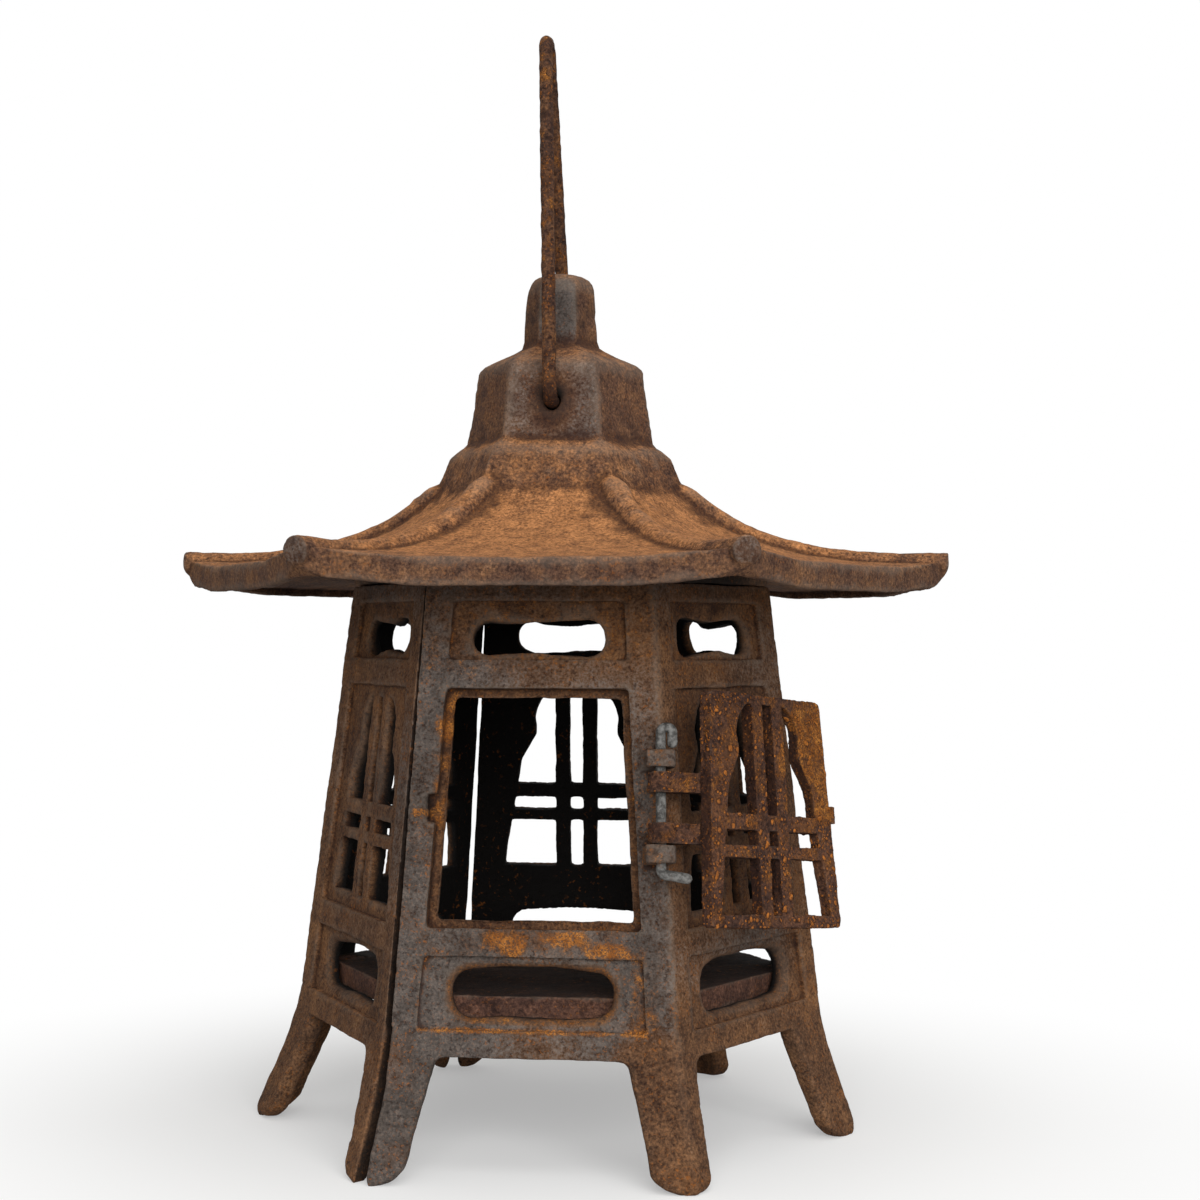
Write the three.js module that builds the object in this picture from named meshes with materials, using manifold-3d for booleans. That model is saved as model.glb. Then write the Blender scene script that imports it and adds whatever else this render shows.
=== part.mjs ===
// A cast iron temple lantern: a stepped hexagonal roof with a bail, on a body of three castings
// with lattice windows, slots, splayed legs and a hinged lattice door.
// Millimetres, +Z up. The origin is on the floor under the middle, and the door panel faces -Y.
import * as THREE from "three";
import { mergeVertices } from "three/addons/utils/BufferGeometryUtils.js";
import Module from "manifold-3d";

const wasm = await Module();
wasm.setup();

// Body: a six-sided wall that widens downwards, split at three of its corners
const bodyTopRadius = 69; // to a corner
const bodySpread = 0.128; // corner radius gained for each millimetre down
const wall = 6.5;
const splitGap = 0.5; // between neighbouring castings, at the top
const legSplitGap = 3.2; // the same gap at the soles
const jointTurns = [0, 0, -22]; // degrees from the radius: front left, right and rear left joint

// Bands of a panel, measured up its slanting face
const legHeight = 36.2;
const bottomRail = 7.6;
const lowerRecessHeight = 21.6;
const middleRail = 8;
const windowHeight = 71.5;
const upperRail = 8.5;
const upperRecessHeight = 18.1;
const topRail = 5.5;
const stileWidth = 9;
const recessDepth = 1.8;
const recessCorner = 1.5;

// Legs
const legFlare = 8.5; // added to the corner radius at the sole
const leftLegSplay = 3.5; // the left leg is bent out further by this much
const flarePower = 1.5;
const legWidthTop = 14.2; // of half a leg, on one panel
const legWidthSole = 15.5;
const legToeRadius = 11;
const soleFlat = 4; // narrowest flat that a toe leaves on a sole
const archFillet = 4;
const archShifts = [0, -5, 0, 0, 0, 0]; // of each arch along its panel, anticlockwise from the front

// Slots above and below the window
const lowerSlotLength = 48;
const lowerSlotHeight = 14;
const lowerSlotRadius = 6;
const lowerSlotRise = 1.2; // the upper edge peaks in the middle
const slotLip = 1.6; // chamfer round the lower slot
const upperSlotLength = 40;
const upperSlotHeight = 11;
const upperSlotRadius = 5;
const upperSlotWaist = 0.9; // both edges draw in at the middle
const upperSlotSill = 1.4; // from the foot of the recess to the slot

// Bell-shaped lattice window: half widths and their heights above its foot
const bellSill = 4.6; // from the foot of the window recess to the foot of the bell
const bellCrownMargin = 3.7; // from the head of the bell to the head of the window recess
const bellFootHalf = 26.4;
const bellHipHalf = 21.2;
const bellHipRise = 31.5;
const bellShoulderHalf = 20;
const bellShoulderRise = 38.5;
const bellNeckHalf = 14.6;
const bellNeckRise = 48;
const bellHeadHalf = 15.1;
const bellHeadRise = 54;
const bellBrowHalf = 13;
const bellBrowRise = 60;
const bellCrownHalf = 9;
const uprightBarWidth = 5.1;
const uprightBarOffset = 4.85; // from the middle of the panel to the middle of an upright bar
const lowerBarRise = 16.8;
const lowerBarHeight = 3.7;
const upperBarRise = 25;
const upperBarHeight = 4.8;

// Door and its rebate in the front panel
const ledgeWidth = 2.5;
const ledgeThickness = 2.2;
const doorThickness = 4;
const doorClearance = 1;
const doorCorner = 1.6;
const doorAngle = 232; // degrees open in the pose that is modelled
const latchReach = 2.6;
const latchHeight = 5.5;
const latchRise = 35.5; // from the foot of the window recess to the middle of the latch lug
const latchClearance = 1.5;

// Hinge
const pinRadius = 1.5;
const pinOffset = 37.9; // from the middle of the front panel
const pinStandOff = 7.5; // from the face of the front panel
const hingeRise = 36.6; // from the foot of the window recess to the middle of the hinge
const knuckleSpan = 22.4; // clear height between the two knuckles
const knuckleHeight = 5.4;
const knuckleHalfWidth = 4.4;
const knuckleCorner = 1.5;
const armHeight = 6;
const armEyeRadius = 3.8;
const armFootLength = 7;
const hingeClearance = 0.35;
const hingeLean = 0.9; // degrees that the pin leans across the panel, with its top towards the door
const hingePitch = 2.6; // degrees that the pin's top leans in, beyond the panel's own slope
const hingePlay = 1.2; // spare height over the upper arm
const hookWidth = 3.4; // from the pin to its folded end
const hookFlat = 0.2; // straight length between the two bends of the fold
const hookRise = 6.5; // middle line above the upper knuckle
const tailLength = 9;
const tailDrop = 3; // middle line below the lower knuckle
const tailDroop = 1.6; // further fall along the tail

// Floor plate and corner lugs
const floorRise = 9; // of the floor's upper face, above the foot of the lower recess
const floorThickness = 7;
const floorClearance = 0.8;
const lugDepth = 17;
const lugThickness = 6;
const lugScrewInset = 9; // from the inner corner of the wall to the screw

// Roof
const eaveRadius = 126; // to a corner
const eaveDrop = 2.7; // the fascia hangs this far below the roof's seat
const fasciaHeight = 8;
const fasciaWall = 5;
const cornerLift = 3;
const cornerLiftStart = 70; // corner radius where the upturn begins
const cornerLiftPower = 5;
const slopeRise = 25;
const slopeBendInset = 22; // corner radius of the slope's bend, beyond the lower tier
const slopeBendRise = 2;
const lowerTierFootRadius = 41.7;
const lowerTierHeadRadius = 36.2;
const lowerTierHeight = 12.8;
const shoulderRise = 3.5;
const upperTierFootRadius = 31;
const upperTierHeadRadius = 27.2;
const upperTierHeight = 25.2;
const capRise = 6.8;
const knobFootRadius = 12.5;
const knobHeadRadius = 11.3;
const knobHeight = 19.7;
const knobDome = 4.5;
const knobCrownRadius = 5.5;
const roofWall = 5.5;
const seatWidth = 9;
const bossRadius = 6.5;
const bossDepth = 16;
const ridgeRadius = 4.3;
const ridgeSink = 1.2; // the ridge's middle line lies this far under the slope
const ridgeOverhang = 1;

// Bail
const bailRadius = 2.2;
const bailHeight = 124.5; // from its holes to the top of the crown
const bailLean = 2.3; // degrees that it leans to the left in the pose that is modelled
const bailHoleRise = 11.7; // above the foot of the upper tier
const bailFootReach = 32; // from the middle to the bend outside the hole
const bailStub = 4; // length that shows inside the roof
const bailFootBend = 4;
const bailCrownBend = 6;
const bailClearance = 0.4;

// Fasteners
const screwRadius = 2.5;
const screwHeadRadius = 4.8;
const screwHeadHeight = 3.2;
const screwCrownRadius = 3.4;
const screwSlotWidth = 1.2;
const screwSlotDepth = 1.2;
const screwTip = 0.8;
const screwBite = 13; // length inside a boss
const countersinkDepth = 2.8;
const countersinkRim = 0.6;
const nutHalfWidth = 4.5; // across flats
const nutHeight = 4;
const screwTail = 1.6; // past the nut
const fastenerClearance = 0.3;

const seatGap = 0.3; // between pieces that rest on each other
const past = 2; // how far a cutting shape runs past the face that it opens

// Facets
const curveSteps = 2;
const bellSteps = 10;
const archSteps = 3;
const eyeSteps = 6;
const roundSides = 12;
const rodSides = 10;
const pinSides = 8;
const eaveSteps = 4; // along one side of the roof
const slopeSteps = 8;
const flareSteps = 6;
const bendStep = Math.PI / 12;

const sideCount = 6;
const sideAngle = (2 * Math.PI) / sideCount;
const cornerToFace = Math.cos(sideAngle / 2);
const batter = Math.atan(bodySpread * cornerToFace);

// Heights up the panel face
const lowerRecessFoot = legHeight + bottomRail;
const lowerRecessHead = lowerRecessFoot + lowerRecessHeight;
const windowFoot = lowerRecessHead + middleRail;
const windowHead = windowFoot + windowHeight;
const upperRecessFoot = windowHead + upperRail;
const upperRecessHead = upperRecessFoot + upperRecessHeight;

// Upright heights
const bodyHeight = (upperRecessHead + topRail) * Math.cos(batter);
const flareStart = lowerRecessFoot * Math.cos(batter);
const floorTop = flareStart + floorRise;
const roofSeat = bodyHeight + seatGap;
const eaveFoot = roofSeat - eaveDrop;
const eaveHead = eaveFoot + fasciaHeight;
const slopeHead = eaveHead + slopeRise;
const lowerTierHead = slopeHead + lowerTierHeight;
const upperTierFoot = lowerTierHead + shoulderRise;
const upperTierHead = upperTierFoot + upperTierHeight;
const knobFoot = upperTierHead + capRise;
const knobHead = knobFoot + knobHeight;
const bailAxis = upperTierFoot + bailHoleRise;
const lowerLugTop = floorTop - floorThickness - seatGap;
const lowerLugFoot = lowerLugTop - lugThickness;
const upperLugFoot = bodyHeight - lugThickness;

const wallAtCorner = wall / (cornerToFace * Math.cos(batter));
const floorApothem = cornerToFace * (bodyTopRadius + bodySpread * bodyHeight);
const rebateDepth = wall - ledgeThickness;

// The folded corner in the middle of each casting: front right, rear right and left
const foldAngles = [-1, 1, 3].map((sixths) => sixths * sideAngle);

// Sweep of each leg, anticlockwise from the right
const legFlares = [0, 0, 0, leftLegSplay, 0, 0].map((splay) => legFlare + splay);

// Corner radius of the body's outer wall at a height, with the sweep of the legs
function bodyRadius(height, flare = legFlare) {
  const sweep = Math.max(0, (flareStart - height) / flareStart);
  return bodyTopRadius + bodySpread * (bodyHeight - height) + flare * sweep ** flarePower;
}

// The body's six corners at a height, drawn in from the outer wall by an inset
function bodyRing(height, inset) {
  return legFlares.map((flare, corner) => {
    return around(bodyRadius(height, flare) - inset, corner * sideAngle, height);
  });
}

// Half the width of a panel's straight face, at a distance up that face
function panelHalf(rise) {
  return (bodyTopRadius + bodySpread * (bodyHeight - rise * Math.cos(batter))) / 2;
}

// Places X along a panel, Y up its face and Z out of it; side 0 is the front, and they run anticlockwise
function panelFrame(side) {
  const frame = new THREE.Matrix4().makeRotationZ(side * sideAngle);
  frame.multiply(new THREE.Matrix4().makeTranslation(0, -floorApothem, 0));
  return frame.multiply(new THREE.Matrix4().makeRotationX(Math.PI / 2 - batter));
}

// A closed geometry as a solid that can be joined and cut
function solid(geometry) {
  const bare = new THREE.BufferGeometry();
  bare.setAttribute("position", geometry.getAttribute("position"));
  bare.setIndex(geometry.getIndex());
  const merged = mergeVertices(bare);
  const vertProperties = merged.getAttribute("position").array;
  const triVerts = new Uint32Array(merged.getIndex().array);
  return new wasm.Manifold(new wasm.Mesh({ numProp: 3, vertProperties, triVerts }));
}

function joined(solids) {
  return solids.reduce((whole, piece) => whole.add(piece));
}

function geometryOf(piece) {
  const mesh = piece.getMesh();
  const geometry = new THREE.BufferGeometry();
  geometry.setAttribute("position", new THREE.BufferAttribute(mesh.vertProperties, 3));
  geometry.setIndex(new THREE.BufferAttribute(mesh.triVerts, 1));
  geometry.computeVertexNormals();
  return geometry;
}

// A closed skin over a stack of outlines with equal numbers of points; each end is a fan about its middle
function loft(rings) {
  const count = rings[0].length;
  const points = rings.flat();
  const faces = [];
  for (let level = 0; level + 1 < rings.length; level++) {
    for (let i = 0; i < count; i++) {
      const here = level * count + i;
      const next = level * count + ((i + 1) % count);
      faces.push(here, next, next + count, here, next + count, here + count);
    }
  }
  const middles = [rings[0], rings.at(-1)].map((ring) => {
    const sum = ring.reduce((total, point) => total.add(point), new THREE.Vector3());
    return sum.divideScalar(count);
  });
  const foot = points.length;
  const head = foot + 1;
  const lastRing = (rings.length - 1) * count;
  for (let i = 0; i < count; i++) {
    const next = (i + 1) % count;
    faces.push(foot, next, i, head, lastRing + i, lastRing + next);
  }
  const geometry = new THREE.BufferGeometry().setFromPoints([...points, ...middles]);
  geometry.setIndex(faces);
  return geometry;
}

// A hexagon round the Z axis; lift raises its corners and fades towards the middle of each side
function hexRing(cornerRadius, height, steps = 1, lift = 0) {
  const ring = [];
  for (let side = 0; side < sideCount; side++) {
    const start = around(cornerRadius, side * sideAngle, height);
    const end = around(cornerRadius, (side + 1) * sideAngle, height);
    for (let step = 0; step < steps; step++) {
      const along = step / steps;
      const raise = lift * Math.abs(2 * along - 1) ** cornerLiftPower;
      ring.push(start.clone().lerp(end, along).setZ(height + raise));
    }
  }
  return ring;
}

function around(radius, angle, height) {
  return new THREE.Vector3(radius * Math.cos(angle), radius * Math.sin(angle), height);
}

// A flat shape as a slab between two distances from its plane
function slab(shape, from, to, steps = curveSteps) {
  const settings = { depth: to - from, bevelEnabled: false, curveSegments: steps };
  return new THREE.ExtrudeGeometry(shape, settings).translate(0, 0, from);
}

// A shape drawn across a panel, X along it and Y out of it, as a block that ends at a height up its face
function shelf(shape, foot, head) {
  return slab(shape, 0, head - foot, eyeSteps).rotateX(Math.PI / 2).translate(0, head, 0);
}

// A closed outline through corner points, each corner rounded
function roundedShape(corners, radius) {
  const shape = new THREE.Shape();
  corners.forEach((corner, i) => {
    const before = corners.at(i - 1);
    const after = corners[(i + 1) % corners.length];
    const inward = corner.clone().add(before.clone().sub(corner).setLength(radius));
    const onward = corner.clone().add(after.clone().sub(corner).setLength(radius));
    if (i === 0) shape.moveTo(inward.x, inward.y);
    else shape.lineTo(inward.x, inward.y);
    shape.quadraticCurveTo(corner.x, corner.y, onward.x, onward.y);
  });
  return shape;
}

function flat(x, y) {
  return new THREE.Vector2(x, y);
}

// Corner points of the space between two heights of a panel, at an even distance from its edges
function bandCorners(foot, head, inset) {
  const footHalf = panelHalf(foot) - inset;
  const headHalf = panelHalf(head) - inset;
  return [flat(-footHalf, foot), flat(footHalf, foot), flat(headHalf, head), flat(-headHalf, head)];
}

// A slot with rounded ends whose long edges may bow at the middle
function slotShape(length, height, foot, radius, footRise, headRise) {
  const bend = Math.min(radius, height / 2 - seatGap);
  const reach = length / 2 - bend;
  const head = foot + height;
  const shape = new THREE.Shape();
  shape.moveTo(-reach, foot);
  shape.splineThru([flat(0, foot + footRise), flat(reach, foot)]);
  shape.absarc(reach, foot + bend, bend, -Math.PI / 2, 0);
  shape.absarc(reach, head - bend, bend, 0, Math.PI / 2);
  shape.splineThru([flat(0, head + headRise), flat(-reach, head)]);
  shape.absarc(-reach, head - bend, bend, Math.PI / 2, Math.PI);
  shape.absarc(-reach, foot + bend, bend, Math.PI, Math.PI * 1.5);
  return shape;
}

function shapeRing(shape, height) {
  const points = shape.getPoints(curveSteps).slice(0, -1);
  return points.map((point) => new THREE.Vector3(point.x, point.y, height));
}

// A slot cut through the wall, with a chamfered lip where it meets the floor of its recess
function lippedSlot(length, height, foot, radius, headRise) {
  const inner = slotShape(length, height, foot, radius, 0, headRise);
  const grown = 2 * slotLip;
  const outer = slotShape(length + grown, height + grown, foot - slotLip, radius + slotLip, 0, headRise);
  return loft([
    shapeRing(inner, -wall - past),
    shapeRing(inner, -recessDepth - slotLip),
    shapeRing(outer, -recessDepth),
    shapeRing(outer, past),
  ]);
}

// Half of the bell outline: a straight flank, and a curve through hip, shoulder, neck, head, brow and crown
function bellShape() {
  const foot = windowFoot + bellSill;
  const curve = new THREE.SplineCurve([
    flat(bellHipHalf, foot + bellHipRise),
    flat(bellShoulderHalf, foot + bellShoulderRise),
    flat(bellNeckHalf, foot + bellNeckRise),
    flat(bellHeadHalf, foot + bellHeadRise),
    flat(bellBrowHalf, foot + bellBrowRise),
    flat(bellCrownHalf, windowHead - bellCrownMargin),
  ]);
  const right = [flat(bellFootHalf, foot), ...curve.getPoints(bellSteps)];
  const left = right.map((point) => flat(-point.x, point.y)).reverse();
  return new THREE.Shape([...right, ...left]);
}

// The nine openings of the lattice: the bell less two upright and two level bars
function latticeCells(frame, from, to) {
  const foot = windowFoot + bellSill;
  const bars = [-1, 1].map((hand) => ({
    width: uprightBarWidth,
    height: 2 * windowHeight,
    x: hand * uprightBarOffset,
    y: windowFoot + windowHeight / 2,
  }));
  const levels = [[lowerBarRise, lowerBarHeight], [upperBarRise, upperBarHeight]];
  for (const [rise, height] of levels) {
    bars.push({ width: 4 * bellFootHalf, height, x: 0, y: foot + rise + height / 2 });
  }
  const cells = solid(slab(bellShape(), from, to).applyMatrix4(frame));
  return bars.reduce((rest, bar) => {
    const box = new THREE.BoxGeometry(bar.width, bar.height, to - from + 2 * past);
    box.translate(bar.x, bar.y, (from + to) / 2).applyMatrix4(frame);
    return rest.subtract(solid(box));
  }, cells);
}

// The opening under a panel between two half legs, with filleted top corners and round toes
function archShape(shift) {
  const topHalf = panelHalf(legHeight) - legWidthTop;
  const soleHalf = bodyRadius(0) / 2 - legWidthSole;
  const [top, sole] = [topHalf, soleHalf].map((half) => ({ left: shift - half, right: shift + half }));
  const toeOf = (soleWidth) => Math.min(legToeRadius, soleWidth - soleFlat);
  const leftToe = toeOf(legWidthSole + shift);
  const rightToe = toeOf(legWidthSole - shift);
  const shape = new THREE.Shape();
  shape.moveTo(sole.left - leftToe, -past);
  shape.lineTo(sole.right + rightToe, -past);
  shape.lineTo(sole.right + rightToe, 0);
  shape.quadraticCurveTo(sole.right, 0, sole.right, rightToe);
  shape.lineTo(top.right, legHeight - archFillet);
  shape.quadraticCurveTo(top.right, legHeight, top.right - archFillet, legHeight);
  shape.lineTo(top.left + archFillet, legHeight);
  shape.quadraticCurveTo(top.left, legHeight, top.left, legHeight - archFillet);
  shape.lineTo(sole.left, leftToe);
  shape.quadraticCurveTo(sole.left, 0, sole.left - leftToe, 0);
  return shape;
}

const windowShape = roundedShape(bandCorners(windowFoot, windowHead, stileWidth), recessCorner);
const lowerRecess = roundedShape(bandCorners(lowerRecessFoot, lowerRecessHead, stileWidth), recessCorner);
const upperRecess = roundedShape(bandCorners(upperRecessFoot, upperRecessHead, stileWidth), recessCorner);
const hingeMiddle = windowFoot + hingeRise;
const latchMiddle = windowFoot + latchRise;

// The cuts that every panel has
function panelCuts(frame, archShift) {
  const legReach = wall + Math.max(...legFlares) + past;
  const lowerSlotFoot = (lowerRecessFoot + lowerRecessHead - lowerSlotHeight) / 2;
  const upperSlot = slotShape(
    upperSlotLength,
    upperSlotHeight,
    upperRecessFoot + upperSlotSill,
    upperSlotRadius,
    upperSlotWaist,
    -upperSlotWaist,
  );
  const shapes = [
    slab(lowerRecess, -recessDepth, past),
    slab(upperRecess, -recessDepth, past),
    slab(upperSlot, -wall - past, past),
    slab(archShape(archShift), -legReach - past, legReach, archSteps),
    lippedSlot(lowerSlotLength, lowerSlotHeight, lowerSlotFoot, lowerSlotRadius, lowerSlotRise),
  ];
  return shapes.map((shape) => solid(shape.applyMatrix4(frame)));
}

// A plain panel has a shallow recess with the lattice cut through its floor
function windowCuts(frame) {
  const recess = slab(windowShape, -recessDepth, past).applyMatrix4(frame);
  return [solid(recess), latticeCells(frame, -wall - past, past)];
}

// The front panel has an opening with a rebate that takes the door, and a notch for the door's latch lug
function doorwayCuts(frame) {
  const inset = stileWidth + ledgeWidth;
  const corners = bandCorners(windowFoot + ledgeWidth, windowHead - ledgeWidth, inset);
  const edge = panelHalf(latchMiddle) - stileWidth;
  const notch = new THREE.BoxGeometry(
    2 * latchReach,
    latchHeight + 2 * latchClearance,
    rebateDepth + past,
  );
  notch.translate(-edge, latchMiddle, (past - rebateDepth) / 2);
  const shapes = [
    slab(windowShape, -rebateDepth, past),
    slab(roundedShape(corners, recessCorner), -wall - past, past),
    notch,
  ];
  return shapes.map((shape) => solid(shape.applyMatrix4(frame)));
}

// The whole six-sided wall before it is split, hollow and open above and below
function bodyWall() {
  const heights = [];
  for (let step = 0; step <= flareSteps; step++) heights.push((flareStart * step) / flareSteps);
  heights.push(bodyHeight);
  const outer = heights.map((height) => bodyRing(height, 0));
  const inner = heights.map((height) => bodyRing(height, wallAtCorner));
  const lowest = bodyRing(0, wallAtCorner).map((corner) => corner.setZ(-past));
  const highest = hexRing(bodyTopRadius - wallAtCorner, bodyHeight + past);
  return solid(loft(outer)).subtract(solid(loft([lowest, ...inner, highest])));
}

// The third of the lantern round one fold, less half the gap to each neighbour
function thirdRound(number) {
  const foldAngle = foldAngles[number];
  const far = 4 * bodyRadius(0);
  const rings = [-past, flareStart, bodyHeight + past].map((height) => {
    const gap = THREE.MathUtils.lerp(legSplitGap, splitGap, height / bodyHeight);
    const [start, end] = [0, 1].map((hand) => {
      const angle = foldAngle + (2 * hand - 1) * sideAngle;
      const turn = THREE.MathUtils.degToRad(jointTurns[(number + hand) % jointTurns.length]);
      const inset = around(gap / 2, angle - ((2 * hand - 1) * Math.PI) / 2, height);
      const wallMiddle = around(bodyRadius(height) - wallAtCorner / 2, angle, 0).add(inset);
      return [-wallAtCorner, far].map((reach) => around(reach, angle + turn, 0).add(wallMiddle));
    });
    const middle = around(gap / 2 / Math.sin(sideAngle), foldAngle, height);
    return [middle, ...start, around(far, foldAngle, height), ...end.reverse()];
  });
  return solid(loft(rings));
}

function innerRadius(height) {
  return bodyRadius(height) - wallAtCorner;
}

function upright(radius, foot, head, sides = roundSides) {
  const cylinder = new THREE.CylinderGeometry(radius, radius, head - foot, sides);
  return cylinder.rotateX(Math.PI / 2).translate(0, 0, (foot + head) / 2);
}

// A three-cornered lug across the inside of a fold, with a hole for a screw
function cornerLug(foldAngle, foot, head) {
  const face = innerRadius(head) - lugDepth;
  const middleOfWall = (height) => hexRing(bodyRadius(height) - wallAtCorner / 2, height);
  const core = solid(loft([middleOfWall(foot), middleOfWall(head)]));
  const reach = 2 * lugDepth;
  const block = new THREE.BoxGeometry(reach, 8 * lugDepth, 2 * (head - foot));
  block.translate(face + reach / 2, 0, (foot + head) / 2).rotateZ(foldAngle);
  const hole = upright(screwRadius + fastenerClearance, foot - past, head + past);
  hole.translate(lugScrewRadius(head), 0, 0).rotateZ(foldAngle);
  return { block: core.intersect(solid(block)), hole: solid(hole) };
}

function lugScrewRadius(height) {
  return innerRadius(height) - lugScrewInset;
}

// Leans what is drawn upright on the front panel, about the middle of the hinge
function hingeTilt() {
  const tilt = new THREE.Matrix4().makeTranslation(pinOffset, hingeMiddle, pinStandOff);
  tilt.multiply(new THREE.Matrix4().makeRotationZ(THREE.MathUtils.degToRad(hingeLean)));
  tilt.multiply(new THREE.Matrix4().makeRotationX(-THREE.MathUtils.degToRad(hingePitch)));
  return tilt.multiply(new THREE.Matrix4().makeTranslation(-pinOffset, -hingeMiddle, -pinStandOff));
}

// A hinge knuckle stands on the stile beside the doorway and carries the pin
function knuckle(frame, foot) {
  const head = foot + knuckleHeight;
  const left = panelHalf(foot) - stileWidth + seatGap;
  const right = panelHalf(head) - seatGap;
  const top = pinStandOff + armEyeRadius;
  const waist = pinStandOff - armEyeRadius;
  const outline = [
    flat(left, -ledgeThickness),
    flat(right, -ledgeThickness),
    flat(pinOffset + knuckleHalfWidth, waist),
    flat(pinOffset + knuckleHalfWidth, top),
    flat(pinOffset - knuckleHalfWidth, top),
    flat(pinOffset - knuckleHalfWidth, waist),
  ];
  const shape = roundedShape(outline, knuckleCorner);
  const hole = new THREE.Path();
  hole.absarc(pinOffset, pinStandOff, pinRadius + hingeClearance, 0, 2 * Math.PI);
  shape.holes.push(hole);
  return solid(shelf(shape, foot, head).applyMatrix4(hingeTilt()).applyMatrix4(frame));
}

const lowerKnuckleFoot = hingeMiddle - knuckleSpan / 2 - knuckleHeight;
const upperKnuckleFoot = hingeMiddle + knuckleSpan / 2;

// One of the three castings: two panels and the fold between them
function casting(shell, number) {
  const foldAngle = foldAngles[number];
  let piece = shell.intersect(thirdRound(number));
  const lugs = [
    cornerLug(foldAngle, lowerLugFoot, lowerLugTop),
    cornerLug(foldAngle, upperLugFoot, bodyHeight),
  ];
  for (const lug of lugs) piece = piece.add(lug.block).subtract(lug.hole);
  return piece;
}

function bodyShell() {
  let shell = bodyWall();
  for (let side = 0; side < sideCount; side++) {
    const frame = panelFrame(side);
    const opening = side === 0 ? doorwayCuts(frame) : windowCuts(frame);
    const cuts = [...panelCuts(frame, archShifts[side]), ...opening];
    for (const tool of cuts) shell = shell.subtract(tool);
  }
  return shell;
}

// The door's own frame: X and Z across the hinge pin, Y up along it
function hingeFrame() {
  const shift = new THREE.Matrix4().makeTranslation(pinOffset, 0, pinStandOff);
  return panelFrame(0).multiply(hingeTilt()).multiply(shift);
}

// The door plate, drawn closed, with its lattice, two hinge arms and the latch lug
function doorPiece() {
  const back = seatGap - rebateDepth;
  const front = back + doorThickness;
  const still = new THREE.Matrix4();
  const inset = stileWidth + doorClearance;
  const foot = windowFoot + doorClearance;
  const head = windowHead - doorClearance;
  const plate = solid(slab(roundedShape(bandCorners(foot, head, inset), doorCorner), back, front));
  const edge = panelHalf(latchMiddle) - inset;
  const lug = new THREE.BoxGeometry(2 * latchReach, latchHeight, doorThickness);
  lug.translate(-edge, latchMiddle, (back + front) / 2);
  const lowerArmFoot = lowerKnuckleFoot + knuckleHeight + hingeClearance;
  const upperArmFoot = upperKnuckleFoot - hingePlay - armHeight;
  const arms = [lowerArmFoot, upperArmFoot].map((armFoot) => hingeArm(armFoot, front));
  const cells = latticeCells(still, back - past, front + past);
  const body = joined([plate.subtract(cells), solid(lug), ...arms.map((arm) => arm.bar)]);
  const drilled = arms.reduce((rest, arm) => rest.subtract(arm.hole), body);
  const onAxis = geometryOf(drilled).applyMatrix4(hingeTilt().invert());
  return onAxis.translate(-pinOffset, 0, -pinStandOff);
}

// An arm rises from the door's outer face beside its hinge edge and ends in an eye round the pin
function hingeArm(foot, face) {
  const head = foot + armHeight;
  const root = panelHalf(head) - stileWidth - 2 * doorClearance;
  const slope = Math.atan2(pinStandOff - face, pinOffset - root);
  const shape = new THREE.Shape();
  shape.moveTo(root - armFootLength, face - doorThickness / 2);
  shape.lineTo(root, face - doorThickness / 2);
  shape.lineTo(root, face);
  shape.absarc(pinOffset, pinStandOff, armEyeRadius, slope - Math.PI / 2, slope + Math.PI / 2);
  shape.lineTo(root - armFootLength, face);
  const hole = new THREE.Shape();
  hole.absarc(pinOffset, pinStandOff, pinRadius + hingeClearance, 0, 2 * Math.PI);
  const bar = shelf(shape, foot, head).applyMatrix4(hingeTilt());
  const bore = shelf(hole, foot - past, head + past).applyMatrix4(hingeTilt());
  return { bar: solid(bar), hole: solid(bore) };
}

// Points of a rod, straight between corners and turning at each on an arc; a corner is x, y, bend radius
function bentPath(corners) {
  const places = corners.map(([x, y]) => flat(x, y));
  const path = [places[0]];
  for (let i = 1; i + 1 < corners.length; i++) {
    const bend = corners[i][2];
    const back = places[i - 1].clone().sub(places[i]).normalize();
    const ahead = places[i + 1].clone().sub(places[i]).normalize();
    const half = Math.acos(back.dot(ahead)) / 2;
    const middle = back.clone().add(ahead).setLength(bend / Math.sin(half)).add(places[i]);
    const start = places[i].clone().addScaledVector(back, bend / Math.tan(half));
    const turn = Math.sign(ahead.cross(back)) * (Math.PI - 2 * half);
    const steps = Math.ceil(Math.abs(turn) / bendStep);
    for (let step = 0; step <= steps; step++) {
      path.push(start.clone().rotateAround(middle, (turn * step) / steps));
    }
  }
  return [...path, places.at(-1)];
}

// A round rod along a path in the XY plane
function rod(path, radius, sides) {
  const rings = path.map((point, i) => {
    const before = path[Math.max(i - 1, 0)];
    const after = path[Math.min(i + 1, path.length - 1)];
    const ahead = after.clone().sub(before).normalize();
    return Array.from({ length: sides }, (_, k) => {
      const angle = (2 * Math.PI * k) / sides;
      const across = radius * Math.cos(angle);
      return new THREE.Vector3(
        point.x - ahead.y * across,
        point.y + ahead.x * across,
        radius * Math.sin(angle),
      );
    });
  });
  return loft(rings);
}

// Wire hinge pin, folded over at the top and bent outwards below the lower knuckle
function pinPiece() {
  const tailLevel = lowerKnuckleFoot - tailDrop;
  const upperKnuckleHead = upperKnuckleFoot + knuckleHeight;
  const hookLevel = upperKnuckleHead + hookRise;
  const bend = (hookWidth - hookFlat) / 2;
  const path = bentPath([
    [tailLength, tailLevel - tailDroop],
    [0, tailLevel, bend],
    [0, hookLevel, bend],
    [hookWidth, hookLevel, bend],
    [hookWidth, upperKnuckleHead + seatGap],
  ]);
  return rod(path, pinRadius, pinSides);
}

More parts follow.
